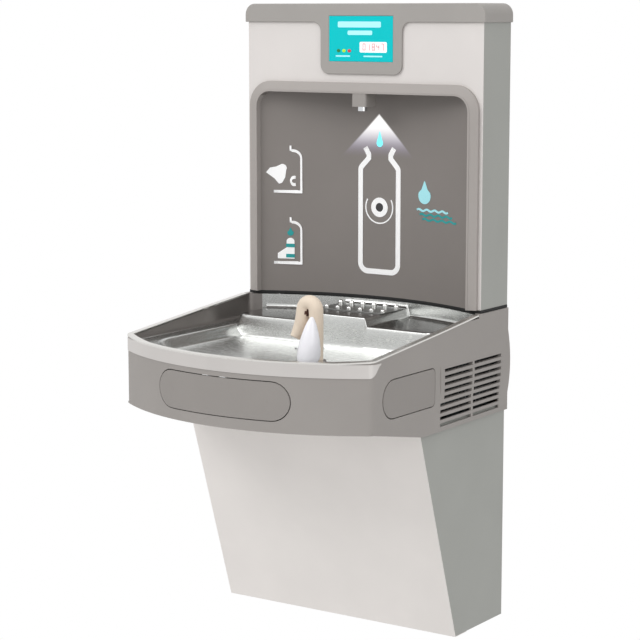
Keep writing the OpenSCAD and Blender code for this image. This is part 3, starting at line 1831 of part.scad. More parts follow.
module thermostat_knob() {
  mid = (thermostat_x[0] + thermostat_x[1]) / 2;
  face = -thermostat_d[1] - seat_gap;
  z = shelf_top + thermostat_h / 2;
  color("#c8c8c4")
    union() {
      rod_y([mid, face - knob_h, z], knob_r, knob_h);
      rod_y([mid, face, z], knob_pin_r, knob_pin_l);
      slab([mid - knob_pin_r / 2, mid + knob_pin_r / 2],
        [face - knob_h - knob_pin_r, face - knob_h + knob_pin_r],
        [z - knob_r / 2, z + knob_r * 0.9]);
    }
}

module power_inlet() {
  color("#303234")
    difference() {
      union() {
        slab(inlet_box_x, [plate_y - inlet_box_d, plate_y], inlet_box_z);
        rod_y([gland_p[0], plate_y, gland_p[1]], gland_r, gland_l);
      }
      rod_y([gland_p[0], plate_y + gland_l - cord_hole_l, gland_p[1]],
        cord_hole_r, cord_hole_l + cut_over);
    }
}

// Screws: the row that holds the cabinet front's folded edge to the base
screw_r = 2;
screw_head_r = 4;
screw_head_h = 2;
screw_l = 8;
base_screw_x = [-205, 0, 205];
base_screw_y = -cabinet_d + 2 * flange_w;

module panel_screws() {
  color("#c4c6c8") {
    for (x = base_screw_x)
      translate([x, base_screw_y, -sheet_t]) {
        rod_z([0, 0, -screw_head_h], screw_head_r, screw_head_h);
        rod_z([0, 0, 0], screw_r, screw_l);
      }
  }
}

// Places on the shelf where tubes pass through, worked out from the tubes' own places
shelf_holes = [[inlet_x, -inlet_d],
  [(condenser_x[0] + condenser_x[1]) / 2, -discharge_d],
  [(condenser_x[0] + condenser_x[1]) / 2, -liquid_d],
  [cold_x, -bubbler_valve_d]];

in_frame() wall_hanger();
in_frame() chassis_back();
in_frame() cabinet_base();
in_frame() upper_shelf();
in_frame() cabinet_front_panel();
in_frame() cabinet_left_side();
in_frame() cabinet_right_side();
in_frame() apron_shroud();
in_frame() front_push();
in_frame() left_push();
in_frame() right_push();
in_frame() push_brackets();
in_frame() push_switches();
in_frame() front_switch_plunger();
in_frame() left_switch_plunger();
in_frame() right_switch_plunger();
in_frame() front_springs();
in_frame() left_springs();
in_frame() right_springs();
in_frame() basin();
in_frame() bottle_rest();
in_frame() waste_fitting();
in_frame() trap();
in_frame() bubbler_base();
in_frame() bubbler_hood();
in_frame() bubbler_shield();
in_frame() seam_gasket();
in_frame() tower_back_plate();
in_frame() tower_left_side();
in_frame() tower_right_side();
in_frame() tower_front_panel();
in_frame() alcove_liner();
in_frame() top_cap();
in_frame() display_window();
in_frame() display_board();
in_frame() nozzle_housing();
in_frame() nozzle_aerator();
in_frame() nozzle_light();
in_frame() bottle_sensor();
in_frame() filler_valve();
in_frame() filler_valve_plunger();
in_frame() control_board();
in_frame() power_supply();
in_frame() compressor();
in_frame() compressor_feet();
in_frame() condenser();
in_frame() fan_shroud();
in_frame() fan_motor();
in_frame() fan_blades();
in_frame() chiller_tank();
in_frame() refrigerant_lines();
in_frame() filter_head();
in_frame() filter_cartridge();
in_frame() bubbler_valve();
in_frame() bubbler_valve_plunger();
in_frame() water_lines();
in_frame() thermostat();
in_frame() thermostat_knob();
in_frame() power_inlet();
in_frame() panel_screws();
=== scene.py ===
"""Looks of a wall-hung bottle filling station, built round its fixed frame.

Metres, in the frame's own axes: +Z is up, the front faces -Y and the wall is the plane Y = 0.
"""

import json
import logging
import math
from dataclasses import dataclass, field
from enum import Enum
from typing import Callable, Sequence

import bmesh
import bpy
from mathutils import Matrix, Vector

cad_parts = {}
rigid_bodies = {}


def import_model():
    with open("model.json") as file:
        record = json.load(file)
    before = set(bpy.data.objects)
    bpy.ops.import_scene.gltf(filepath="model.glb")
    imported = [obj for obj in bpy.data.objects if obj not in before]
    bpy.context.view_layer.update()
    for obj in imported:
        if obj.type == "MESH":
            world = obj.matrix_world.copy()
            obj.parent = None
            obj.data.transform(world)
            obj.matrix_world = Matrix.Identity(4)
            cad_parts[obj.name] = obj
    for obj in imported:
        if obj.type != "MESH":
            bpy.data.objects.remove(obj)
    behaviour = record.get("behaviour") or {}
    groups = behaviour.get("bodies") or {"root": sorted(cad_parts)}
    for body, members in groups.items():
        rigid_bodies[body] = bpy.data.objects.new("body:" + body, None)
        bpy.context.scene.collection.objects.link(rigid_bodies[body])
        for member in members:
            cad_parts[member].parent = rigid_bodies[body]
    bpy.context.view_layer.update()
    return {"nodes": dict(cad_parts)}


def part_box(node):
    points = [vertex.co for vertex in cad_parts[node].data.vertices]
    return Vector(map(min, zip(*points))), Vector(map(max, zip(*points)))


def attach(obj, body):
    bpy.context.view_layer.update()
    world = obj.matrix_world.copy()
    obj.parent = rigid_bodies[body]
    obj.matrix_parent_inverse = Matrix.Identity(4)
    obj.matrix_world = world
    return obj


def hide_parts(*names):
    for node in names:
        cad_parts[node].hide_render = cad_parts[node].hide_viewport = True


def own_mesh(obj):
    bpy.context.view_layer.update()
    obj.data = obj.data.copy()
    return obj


for leftover in list(bpy.data.objects):
    bpy.data.objects.remove(leftover)

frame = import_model()
LOG = logging.getLogger("filling_station")

MERGE = 1e-6
SHARP = math.radians(32)
SKIN = 0.00025
FLAT = math.radians(0.5)
DROP_SCALE = 70.0
COAT_ROUGH = 0.12
GLOW_STRENGTH = 0.9
Point = tuple[float, float]


class Surface(Enum):
    """How a finish's surface is worked."""

    POWDER = "powder coat"
    MOULDED = "fine moulded texture"
    BRUSHED = "brushed or drawn metal"
    SMOOTH = "smooth"


def linear(hex_colour: str) -> tuple[float, float, float, float]:
    """Turns a written colour into the shader's linear one.

    Args:
        hex_colour: Six hexadecimal digits.

    Returns:
        Red, green, blue and a full alpha.
    """
    parts = [int(hex_colour[i:i + 2], 16) / 255 for i in (0, 2, 4)]
    light = [c / 12.92 if c <= 0.04045 else ((c + 0.055) / 1.055) ** 2.4 for c in parts]
    return (*light, 1.0)


def node(tree: bpy.types.NodeTree, kind: str, inputs: dict | None = None, **settings) -> bpy.types.Node:
    """Adds a shader node.

    Args:
        tree: The tree that gets the node.
        kind: Blender's name of the node type.
        inputs: Values or sockets for the node's inputs, by name or place.
        **settings: Attributes of the node.

    Returns:
        The new node.
    """
    made = tree.nodes.new(kind)
    for key, value in settings.items():
        setattr(made, key, value)
    for key, value in (inputs or {}).items():
        if isinstance(value, bpy.types.NodeSocket):
            tree.links.new(value, made.inputs[key])
        else:
            made.inputs[key].default_value = value
    return made


class Groups:
    """Shader groups that several finishes use, each built once."""

    def __init__(self) -> None:
        """Starts with no group built."""
        self.built: dict[str, bpy.types.NodeTree] = {}

    def get(self, name: str) -> bpy.types.NodeTree:
        """Gives the named group, and builds it the first time."""
        if name not in self.built:
            self.built[name] = getattr(self, name)()
        return self.built[name]

    @staticmethod
    def shell(name: str, inputs: Sequence[tuple], outputs: Sequence[tuple]) -> tuple:
        """Makes an empty group with its sockets.

        Args:
            name: The group's name.
            inputs: Name, socket type and default of each input.
            outputs: Name and socket type of each output.

        Returns:
            The tree, its input node and its output node.
        """
        tree = bpy.data.node_groups.new(name, "ShaderNodeTree")
        for label, kind, default in inputs:
            socket = tree.interface.new_socket(label, in_out="INPUT", socket_type=kind)
            if default is not None:
                socket.default_value = default
        for label, kind in outputs:
            tree.interface.new_socket(label, in_out="OUTPUT", socket_type=kind)
        return tree, tree.nodes.new("NodeGroupInput"), tree.nodes.new("NodeGroupOutput")

    def tone(self) -> bpy.types.NodeTree:
        """Slow, slight changes of shade over a surface."""
        tree, enter, leave = self.shell(
            "tone",
            [("Vector", "NodeSocketVector", None), ("Color", "NodeSocketColor", None),
             ("Shade", "NodeSocketFloat", 0.05), ("Scale", "NodeSocketFloat", 9.0)],
            [("Color", "NodeSocketColor")])
        cloud = node(tree, "ShaderNodeTexNoise", {
            "Vector": enter.outputs["Vector"], "Scale": enter.outputs["Scale"], "Detail": 4.0})
        low = node(tree, "ShaderNodeMath", {0: 1.0, 1: enter.outputs["Shade"]}, operation="SUBTRACT")
        spread = node(tree, "ShaderNodeMapRange", {
            "Value": cloud.outputs["Fac"], "From Min": 0.3, "From Max": 0.7,
            "To Min": low.outputs[0], "To Max": 1.0})
        mixed = node(tree, "ShaderNodeMix", {
            "Factor": 1.0, 6: enter.outputs["Color"], 7: spread.outputs["Result"]},
            data_type="RGBA", blend_type="MULTIPLY")
        tree.links.new(mixed.outputs[2], leave.inputs["Color"])
        return tree

    def grain(self) -> bpy.types.NodeTree:
        """Fine grain: a roughness between two values, and a height."""
        tree, enter, leave = self.shell(
            "grain",
            [("Vector", "NodeSocketVector", None), ("Scale", "NodeSocketFloat", 900.0),
             ("Low", "NodeSocketFloat", 0.4), ("High", "NodeSocketFloat", 0.6)],
            [("Roughness", "NodeSocketFloat"), ("Height", "NodeSocketFloat")])
        cloud = node(tree, "ShaderNodeTexNoise", {
            "Vector": enter.outputs["Vector"], "Scale": enter.outputs["Scale"], "Detail": 2.0})
        spread = node(tree, "ShaderNodeMapRange", {
            "Value": cloud.outputs["Fac"], "From Min": 0.3, "From Max": 0.7,
            "To Min": enter.outputs["Low"], "To Max": enter.outputs["High"]})
        tree.links.new(spread.outputs["Result"], leave.inputs["Roughness"])
        tree.links.new(cloud.outputs["Fac"], leave.inputs["Height"])
        return tree

    def dried_drops(self) -> bpy.types.NodeTree:
        """Faint rings and dots that water leaves as it dries."""
        tree, enter, leave = self.shell(
            "dried_drops",
            [("Vector", "NodeSocketVector", None), ("Scale", "NodeSocketFloat", 60.0),
             ("Amount", "NodeSocketFloat", 0.3)],
            [("Mask", "NodeSocketFloat")])
        cells = node(tree, "ShaderNodeTexVoronoi", {
            "Vector": enter.outputs["Vector"], "Scale": enter.outputs["Scale"]})
        ring = node(tree, "ShaderNodeMapRange", {
            "Value": cells.outputs["Distance"], "From Min": 0.16, "From Max": 0.24,
            "To Min": 1.0, "To Max": 0.0})
        patch = node(tree, "ShaderNodeTexNoise", {"Vector": enter.outputs["Vector"], "Scale": 14.0})
        where = node(tree, "ShaderNodeMapRange", {
            "Value": patch.outputs["Fac"], "From Min": 0.52, "From Max": 0.66,
            "To Min": 0.0, "To Max": enter.outputs["Amount"]})
        both = node(tree, "ShaderNodeMath", {0: ring.outputs["Result"], 1: where.outputs["Result"]},
                    operation="MULTIPLY")
        tree.links.new(both.outputs[0], leave.inputs["Mask"])
        return tree

    def lamp_glow(self) -> bpy.types.NodeTree:
        """The pool of light that the filler's lamp throws down the alcove's back."""
        tree, enter, leave = self.shell(
            "lamp_glow",
            [("Vector", "NodeSocketVector", None), ("Middle", "NodeSocketFloat", 0.0),
             ("Apex", "NodeSocketFloat", 0.35), ("Length", "NodeSocketFloat", 0.06),
             ("Near", "NodeSocketColor", None), ("Far", "NodeSocketColor", None)],
            [("Color", "NodeSocketColor")])
        place = node(tree, "ShaderNodeSeparateXYZ", {0: enter.outputs["Vector"]})
        drop = node(tree, "ShaderNodeMath", {0: enter.outputs["Apex"], 1: place.outputs["Z"]},
                    operation="SUBTRACT")
        off = node(tree, "ShaderNodeMath", {0: place.outputs["X"], 1: enter.outputs["Middle"]},
                   operation="SUBTRACT")
        side = node(tree, "ShaderNodeMath", {0: off.outputs[0]}, operation="ABSOLUTE")
        inside = node(tree, "ShaderNodeMath", {0: drop.outputs[0], 1: side.outputs[0]},
                      operation="SUBTRACT")
        cone = node(tree, "ShaderNodeMapRange", {
            "Value": inside.outputs[0], "From Min": -0.0015, "From Max": 0.0035},
            interpolation_type="SMOOTHSTEP")
        share = node(tree, "ShaderNodeMath", {0: drop.outputs[0], 1: enter.outputs["Length"]},
                     operation="DIVIDE")
        fade = node(tree, "ShaderNodeMapRange", {
            "Value": share.outputs[0], "From Min": 0.22, "From Max": 1.0,
            "To Min": 1.0, "To Max": 0.0}, interpolation_type="SMOOTHSTEP")
        depth = node(tree, "ShaderNodeMapRange", {
            "Value": place.outputs["Y"], "From Min": -0.075, "From Max": -0.06})
        colour = node(tree, "ShaderNodeMix", {
            "Factor": fade.outputs["Result"], 6: enter.outputs["Far"], 7: enter.outputs["Near"]},
            data_type="RGBA")
        mask = node(tree, "ShaderNodeMath", {0: cone.outputs["Result"], 1: fade.outputs["Result"]},
                    operation="MULTIPLY")
        on_back = node(tree, "ShaderNodeMath", {0: mask.outputs[0], 1: depth.outputs["Result"]},
                       operation="MULTIPLY")
        lit = node(tree, "ShaderNodeMix", {
            "Factor": 1.0, 6: colour.outputs[2], 7: on_back.outputs[0]},
            data_type="RGBA", blend_type="MULTIPLY")
        tree.links.new(lit.outputs[2], leave.inputs["Color"])
        return tree


GROUPS = Groups()


@dataclass(frozen=True)
class Glow:
    """The lamp's pool of light on a surface: its place, length and colours."""

    middle: float = 0.0015
    apex: float = 0.3525
    length: float = 0.074
    near: str = "ffffff"
    far: str = "9489bd"


@dataclass(frozen=True)
class Finish:
    """A finish: its colour, how it is worked and how it takes light."""

    name: str
    slot: str
    colour: str
    surface: Surface = Surface.SMOOTH
    rough: Point = (0.4, 0.5)
    metal: float = 0.0
    shade: float = 0.05
    shade_scale: float = 9.0
    grain_scale: float = 900.0
    bump: float = 0.00004
    along: tuple[float, float, float] = (1.0, 1.0, 1.0)
    coat: float = 0.0
    specular: float = 0.5
    lit: float = 0.0
    alpha: float = 1.0
    drops: float = 0.0
    drop_colour: str = "e6e6e0"
    glow: Glow | None = None
    sheen: float = 0.0

    def material(self) -> bpy.types.Material:
        """Builds the finish's material, or gives the one already built."""
        found = bpy.data.materials.get(self.name)
        if found is not None and "finish" in found:
            return found
        made = bpy.data.materials.new(self.name)
        made["finish"] = self.surface.value
        made.use_nodes = True
        tree = made.node_tree
        tree.nodes.clear()
        place = node(tree, "ShaderNodeTexCoord").outputs["Object"]
        turned = node(tree, "ShaderNodeMapping", {"Vector": place, "Scale": self.along})
        tone = node(tree, "ShaderNodeGroup", node_tree=GROUPS.get("tone"))
        tree.links.new(place, tone.inputs["Vector"])
        tone.inputs["Color"].default_value = linear(self.colour)
        tone.inputs["Shade"].default_value = self.shade
        tone.inputs["Scale"].default_value = self.shade_scale
        grain = node(tree, "ShaderNodeGroup", node_tree=GROUPS.get("grain"))
        tree.links.new(turned.outputs["Vector"], grain.inputs["Vector"])
        grain.inputs["Scale"].default_value = self.grain_scale
        grain.inputs["Low"].default_value = self.rough[0]
        grain.inputs["High"].default_value = self.rough[1]
        bump = node(tree, "ShaderNodeBump", {
            "Height": grain.outputs["Height"], "Strength": 1.0, "Distance": self.bump})
        colour = tone.outputs["Color"]
        if self.drops:
            colour = self.spotted(tree, place, colour)
        shader = node(tree, "ShaderNodeBsdfPrincipled", {
            "Base Color": colour, "Roughness": grain.outputs["Roughness"],
            "Metallic": self.metal, "Normal": bump.outputs["Normal"],
            "Coat Weight": self.coat, "Coat Roughness": COAT_ROUGH,
            "Specular IOR Level": self.specular, "Alpha": self.alpha,
            "Sheen Weight": self.sheen, "Sheen Roughness": 0.5})
        # Emission: a real glow for the lamp lens, the display and its status lamps, and painted light
        # for the printed marks in the alcove, which are no lamps.
        if self.lit:
            tree.links.new(tone.outputs["Color"], shader.inputs["Emission Color"])
            shader.inputs["Emission Strength"].default_value = self.lit
        if self.glow:
            self.shine(tree, place, shader)
        out = node(tree, "ShaderNodeOutputMaterial")
        tree.links.new(shader.outputs["BSDF"], out.inputs["Surface"])
        return made

    def spotted(self, tree: bpy.types.NodeTree, place: bpy.types.NodeSocket,
                colour: bpy.types.NodeSocket) -> bpy.types.NodeSocket:
        """Adds dried drops to the colour.

        Args:
            tree: The material's tree.
            place: The coordinates that the drops use.
            colour: The colour under the drops.

        Returns:
            The spotted colour.
        """
        drops = node(tree, "ShaderNodeGroup", node_tree=GROUPS.get("dried_drops"))
        tree.links.new(place, drops.inputs["Vector"])
        drops.inputs["Scale"].default_value = DROP_SCALE
        drops.inputs["Amount"].default_value = self.drops
        mixed = node(tree, "ShaderNodeMix", {
            "Factor": drops.outputs["Mask"], 6: colour, 7: linear(self.drop_colour)},
            data_type="RGBA")
        return mixed.outputs[2]

    def shine(self, tree: bpy.types.NodeTree, place: bpy.types.NodeSocket,
              shader: bpy.types.Node) -> None:
        """Adds the lamp's pool of light to the shader.

        Args:
            tree: The material's tree.
            place: The coordinates of the surface.
            shader: The material's shader.
        """
        glow = node(tree, "ShaderNodeGroup", node_tree=GROUPS.get("lamp_glow"))
        tree.links.new(place, glow.inputs["Vector"])
        glow.inputs["Middle"].default_value = self.glow.middle
        glow.inputs["Apex"].default_value = self.glow.apex
        glow.inputs["Length"].default_value = self.glow.length
        glow.inputs["Near"].default_value = linear(self.glow.near)
        glow.inputs["Far"].default_value = linear(self.glow.far)
        tree.links.new(glow.outputs["Color"], shader.inputs["Emission Color"])
        shader.inputs["Emission Strength"].default_value = GLOW_STRENGTH


POWDER = {"surface": Surface.POWDER, "rough": (0.42, 0.56), "grain_scale": 1500.0, "bump": 0.00005}
MOULDED = {"surface": Surface.MOULDED, "rough": (0.5, 0.66), "grain_scale": 2300.0, "bump": 0.00008}
METAL = {"surface": Surface.BRUSHED, "metal": 1.0, "bump": 0.00002}

PAINT_LIGHT = Finish("paint_light", "cabinet_light", "ebe6e2", **POWDER)
PAINT_GREY = Finish("paint_grey", "cabinet_grey", "a2a39e", **POWDER)
PAINT_TOWER = Finish("paint_tower", "tower_light", "dad5d2", **POWDER)
APRON_GREY = Finish("apron_moulding", "apron_grey", "9b9692", **MOULDED)
PUSH_GREY = Finish("push_moulding", "push_grey", "928d89", **MOULDED)
CAP_GREY = Finish("cap_moulding", "cap_grey", "a09c98", **MOULDED)
LINER_GREY = Finish("liner_moulding", "liner_grey", "827c78", glow=Glow(), **MOULDED)
# Painted light and shade: the liner's frame gets a lighter copy of its grey and the recess keeps the
# darker one, standing in for the light on the frame and the shade inside the alcove.
FRAME_GREY_PAINTED_LIGHT = Finish("liner_frame_painted_light", "liner_grey", "a39d99", **MOULDED)
NOZZLE_GREY = Finish("nozzle_moulding", "nozzle_grey", "96918d", **MOULDED)
BASIN_STEEL = Finish("basin_stainless", "basin_steel", "c9cac8", rough=(0.2, 0.3), shade=0.08,
                     grain_scale=1700.0, along=(0.05, 1.0, 1.0), drops=0.35, **METAL)
# Painted reflection: a darker copy of the basin steel for the deck and platform tops, standing in for
# the dark alcove that they mirror.
DECK_STEEL_PAINTED_REFLECTION = Finish("deck_stainless_painted_reflection", "basin_steel", "6c6967", rough=(0.16, 0.24), shade=0.2,
                    shade_scale=16.0, grain_scale=1700.0, along=(0.05, 1.0, 1.0), **METAL)
# Painted reflection: a darker copy of the basin steel for the bowl's left wall; its rougher grain is
# real.
WALL_STEEL_PAINTED_REFLECTION = Finish("wall_stainless_painted_reflection", "basin_steel", "8f8a87", rough=(0.42, 0.52), shade=0.15,
                    shade_scale=12.0, grain_scale=1700.0, along=(0.05, 1.0, 1.0), **METAL)
# Painted highlight: a lighter copy of the basin steel for the rolled rim, standing in for the bright
# band of light along it.
RIM_STEEL_PAINTED_HIGHLIGHT = Finish("rim_stainless_painted_highlight", "basin_steel", "dcdad6", rough=(0.24, 0.34), shade=0.04,
                   grain_scale=1700.0, along=(0.05, 1.0, 1.0), **METAL)
# Painted shade: the skirt gets its own copy of the steel, its colour set greyer to stand in for the
# shade that falls on the band.
SKIRT_STEEL_PAINTED_SHADE = Finish("skirt_stainless_painted_shade", "basin_steel", "cfcbc8", rough=(0.3, 0.4), shade=0.04,
                     grain_scale=1700.0, along=(0.05, 1.0, 1.0), **METAL)
REST_STEEL = Finish("rest_stainless", "rest_steel", "8f908e", rough=(0.28, 0.4),
                    grain_scale=2000.0, along=(0.05, 1.0, 1.0), **METAL)
# Painted highlight: the bottle rest's button tops get a near-white, glossier copy of its steel,
# standing in for the glints on them.
BUTTON_STEEL_PAINTED_HIGHLIGHT = Finish("button_stainless_painted_highlight", "rest_steel", "f0f0ee", rough=(0.1, 0.16), **METAL)
CHROME = Finish("fitting_chrome", "fitting_chrome", "d6d8da", rough=(0.06, 0.12), **METAL)
ZINC = Finish("zinc_coated", "zinc_steel", "b4b8ba", rough=(0.3, 0.48), shade=0.22,
              shade_scale=55.0, grain_scale=260.0, **METAL)
SCREW_STEEL = Finish("screw_zinc", "screw_steel", "c8cacc", rough=(0.22, 0.34), **METAL)
PIN_STEEL = Finish("pin_steel", "pin_steel", "b0b2b5", rough=(0.16, 0.26), **METAL)
SPRING_STEEL = Finish("spring_wire", "spring_steel", "9a9da0", rough=(0.2, 0.3), **METAL)
COPPER = Finish("copper_tube", "copper_tube", "c98a5a", rough=(0.22, 0.36), shade=0.2,
                shade_scale=30.0, **METAL)
FINS = Finish("condenser_fins", "condenser_metal", "a5aaac", rough=(0.3, 0.42), **METAL)
HOOD_RUBBER = Finish("hood_rubber", "hood_rubber", "e2d2bf", rough=(0.5, 0.62), shade=0.06,
                     grain_scale=700.0, bump=0.00003, sheen=0.15)
# Painted shade: a dark brown copy of the hood rubber for the faces round and inside the mouth's recess.
HOOD_MOUTH_PAINTED_SHADE = Finish("hood_mouth_painted_shade", "hood_rubber", "5a3a30", rough=(0.5, 0.62))
SHIELD_GLOSS = Finish("shield_gloss", "shield_plastic", "f2f1f6", rough=(0.14, 0.22), shade=0.02,
                      coat=0.3)
GASKET = Finish("seam_rubber", "gasket_rubber", "101010", rough=(0.6, 0.75))
TRAP_WHITE = Finish("trap_moulding", "trap_plastic", "dadcdc", rough=(0.3, 0.42))
WINDOW_CYAN = Finish("display_cyan", "window_cyan", "00b0b4", rough=(0.14, 0.22), shade=0.04,
                     coat=0.08, specular=0.12, lit=0.35)
PRINT_WHITE = Finish("print_white", "window_cyan", "f4fbfc", rough=(0.3, 0.4), lit=0.25)
PRINT_PALE = Finish("print_pale", "window_cyan", "a9eef8", rough=(0.3, 0.4), lit=0.2)
DIGIT_PINK = Finish("counter_digits", "screen_cyan", "e8868c", rough=(0.3, 0.4), lit=0.15)
SCREEN = Finish("screen_cyan", "screen_cyan", "18b8cc", rough=(0.2, 0.3))
# Painted light: the white, pale-blue and cyan prints glow a little though they are only ink; the cyan
# drop glows most.
MARK_WHITE_PAINTED_GLOW = Finish("mark_white_painted_glow", "light_white", "fbfbfb", rough=(0.32, 0.42), shade=0.02, lit=0.06)
MARK_TEAL = Finish("mark_teal", "window_cyan", "1a9a9a", rough=(0.32, 0.42))
MARK_DROP_PAINTED_GLOW = Finish("mark_drop_painted_glow", "window_cyan", "a4e2ea", rough=(0.25, 0.35), lit=0.1)
MARK_CYAN_PAINTED_GLOW = Finish("mark_cyan_painted_glow", "window_cyan", "7df1ff", rough=(0.25, 0.35), lit=0.45)
LAMP_LENS = Finish("lamp_lens", "light_white", "f6f6ff", rough=(0.2, 0.3), lit=0.9)
SENSOR_BLACK = Finish("sensor_lens", "sensor_black", "0c0c0e", rough=(0.04, 0.08), coat=0.6)
LED_GREEN = Finish("led_green", "screen_cyan", "16702e", rough=(0.2, 0.3), lit=0.3)
LED_YELLOW = Finish("led_yellow", "screen_cyan", "a8d828", rough=(0.2, 0.3), lit=0.3)
LED_RED = Finish("led_red", "screen_cyan", "cc2438", rough=(0.2, 0.3), lit=0.3)
BOARD = Finish("circuit_board", "board_green", "1f6b3a", rough=(0.3, 0.45), shade=0.25,
               shade_scale=160.0)
VALVE = Finish("valve_moulding", "valve_plastic", "dadad2", rough=(0.36, 0.5))
SUPPLY = Finish("supply_case", "supply_black", "2b2b2e", **MOULDED)
SWITCH = Finish("switch_case", "switch_black", "2e2e30", **MOULDED)
SWITCH_RED = Finish("switch_pin", "switch_red", "c0392b", rough=(0.3, 0.4))
ENAMEL = Finish("compressor_enamel", "compressor_black", "1b1b1d", rough=(0.24, 0.36), coat=0.4,
                shade=0.15, shade_scale=40.0)
FOOT_RUBBER = Finish("foot_rubber", "foot_rubber", "19191b", rough=(0.7, 0.85))
FAN_BLACK = Finish("fan_moulding", "fan_black", "26282a", **MOULDED)
MOTOR = Finish("motor_case", "motor_grey", "3b3d40", **POWDER)
BLADE = Finish("fan_blade", "blade_grey", "55585b", **MOULDED)
FOAM = Finish("tank_foam", "foam_cream", "e4dcc0", rough=(0.75, 0.9), shade=0.12,
              shade_scale=45.0, grain_scale=420.0, bump=0.0006)
FILTER_BLUE = Finish("filter_head", "filter_head_blue", "3c4654", **MOULDED)
FILTER_WHITE = Finish("filter_shell", "filter_white", "e9edf0", rough=(0.2, 0.3), coat=0.3)
TUBE = Finish("water_tube", "water_tube", "d4dade", rough=(0.2, 0.32))
THERMOSTAT = Finish("thermostat_case", "thermostat_grey", "3a3a3c", **MOULDED)
KNOB = Finish("knob_moulding", "knob_grey", "c8c8c4", **MOULDED)

CARRIED: dict[str, Finish] = {
    "wall_hanger": ZINC, "chassis_back": ZINC, "cabinet_base": ZINC, "upper_shelf": ZINC,
    "push_brackets": ZINC, "tower_back_plate": ZINC, "push_switches": SWITCH,
    "front_switch_plunger": SWITCH_RED, "left_switch_plunger": SWITCH_RED,
    "right_switch_plunger": SWITCH_RED, "waste_fitting": CHROME,
    "trap": TRAP_WHITE, "display_board": SCREEN, "nozzle_aerator": CHROME,
    "nozzle_light": LAMP_LENS, "filler_valve": VALVE, "filler_valve_plunger": PIN_STEEL,
    "control_board": BOARD, "power_supply": SUPPLY, "compressor": ENAMEL,
    "compressor_feet": FOOT_RUBBER, "condenser": FINS, "fan_shroud": FAN_BLACK,
    "fan_motor": MOTOR, "fan_blades": BLADE, "chiller_tank": FOAM,
    "refrigerant_lines": COPPER, "filter_head": FILTER_BLUE, "filter_cartridge": FILTER_WHITE,
    "bubbler_valve": VALVE, "bubbler_valve_plunger": PIN_STEEL, "water_lines": TUBE,
    "thermostat": THERMOSTAT, "thermostat_knob": KNOB, "power_inlet": SUPPLY,
}


def merged_copy(name: str) -> bmesh.types.BMesh:
    """Copies a frame node's mesh with its doubles merged and its flat faces joined.

    Args:
        name: The node's name.

    Returns:
        A closed mesh that can be worked on.
    """
    bm = bmesh.new()
    bm.from_mesh(frame["nodes"][name].data)
    bmesh.ops.remove_doubles(bm, verts=bm.verts[:], dist=MERGE)
    bmesh.ops.dissolve_limit(bm, angle_limit=FLAT, verts=bm.verts[:], edges=bm.edges[:])
    return bm


def soften(bm: bmesh.types.BMesh, width: float, segments: int = 2,
           only: Callable[[bmesh.types.BMEdge], bool] | None = None) -> None:
    """Rounds the sharp edges.

    Args:
        bm: The mesh.
        width: How far each edge is cut back.
        segments: Steps across the rounding.
        only: A test that an edge has to pass, or None for every sharp edge.
    """
    edges = [e for e in bm.edges
             if e.is_manifold and e.calc_face_angle(0.0) > SHARP
             and e.calc_length() > 2.4 * width and (only is None or only(e))]
    bmesh.ops.bevel(bm, geom=edges, offset=width, offset_type="OFFSET", affect="EDGES",
                    segments=segments, profile=0.5, material=-1, clamp_overlap=True)


def publish(bm: bmesh.types.BMesh, name: str, finish: Finish, body: str = "root",
            stands_for: Sequence[str] = (), turn_out: bool = False,
            crease: float = SHARP) -> bpy.types.Object:
    """Makes a finished piece from a mesh.

    Args:
        bm: The mesh, which is freed.
        name: The piece's name.
        finish: Its finish.
        body: The body that it rides on.
        stands_for: The frame nodes that it replaces.
        turn_out: Whether its normals are worked out again.
        crease: The angle past which an edge stays sharp.

    Returns:
        The piece.
    """
    if turn_out:
        bmesh.ops.remove_doubles(bm, verts=bm.verts[:], dist=MERGE)
        bmesh.ops.recalc_face_normals(bm, faces=bm.faces[:])
    for face in bm.faces:
        face.smooth = True
    for edge in bm.edges:
        edge.smooth = edge.is_manifold and edge.calc_face_angle(0.0) <= crease
    mesh = bpy.data.meshes.new(name)
    bm.to_mesh(mesh)
    bm.free()
    mesh.materials.append(finish.material())
    piece = bpy.data.objects.new(name, mesh)
    bpy.context.scene.collection.objects.link(piece)
    weigh = piece.modifiers.new("even_faces", "WEIGHTED_NORMAL")
    weigh.keep_sharp = True
    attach(piece, body)
    if stands_for:
        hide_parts(*stands_for)
    LOG.info("%s: %d faces, %s", name, len(mesh.polygons), finish.name)
    return piece


def second_finish(piece: bpy.types.Object, finish: Finish,
                  chosen: Callable[[bpy.types.MeshPolygon], bool]) -> None:
    """Gives some of a piece's faces another finish.

    Args:
        piece: The piece.
        finish: The other finish.
        chosen: A test that picks the faces.
    """
    piece.data.materials.append(finish.material())
    place = len(piece.data.materials) - 1
    for face in piece.data.polygons:
        if chosen(face):
            face.material_index = place


def thicken(piece: bpy.types.Object, thickness: float, offset: float) -> None:
    """Gives a sheet its thickness, ahead of its other modifiers.

    Args:
        piece: The sheet.
        thickness: Its thickness.
        offset: -1 grows it behind its faces, 1 in front of them and 0 both ways.
    """
    sheet = piece.modifiers.new("sheet", "SOLIDIFY")
    sheet.thickness = thickness
    sheet.offset = offset
    piece.modifiers.move(len(piece.modifiers) - 1, 0)


def softened_node(name: str, finish: Finish, width: float, segments: int = 2,
                  body: str = "root") -> bpy.types.Object:
    """Replaces a frame node by a copy with rounded edges.

    Args:
        name: The node's name, which also names the piece.
        finish: Its finish.
        width: How far each edge is cut back.
        segments: Steps across the rounding.
        body: The body that it rides on.

    Returns:
        The piece.
    """
    bm = merged_copy(name)
    soften(bm, width, segments)
    return publish(bm, f"{name}_finished", finish, body, [name])


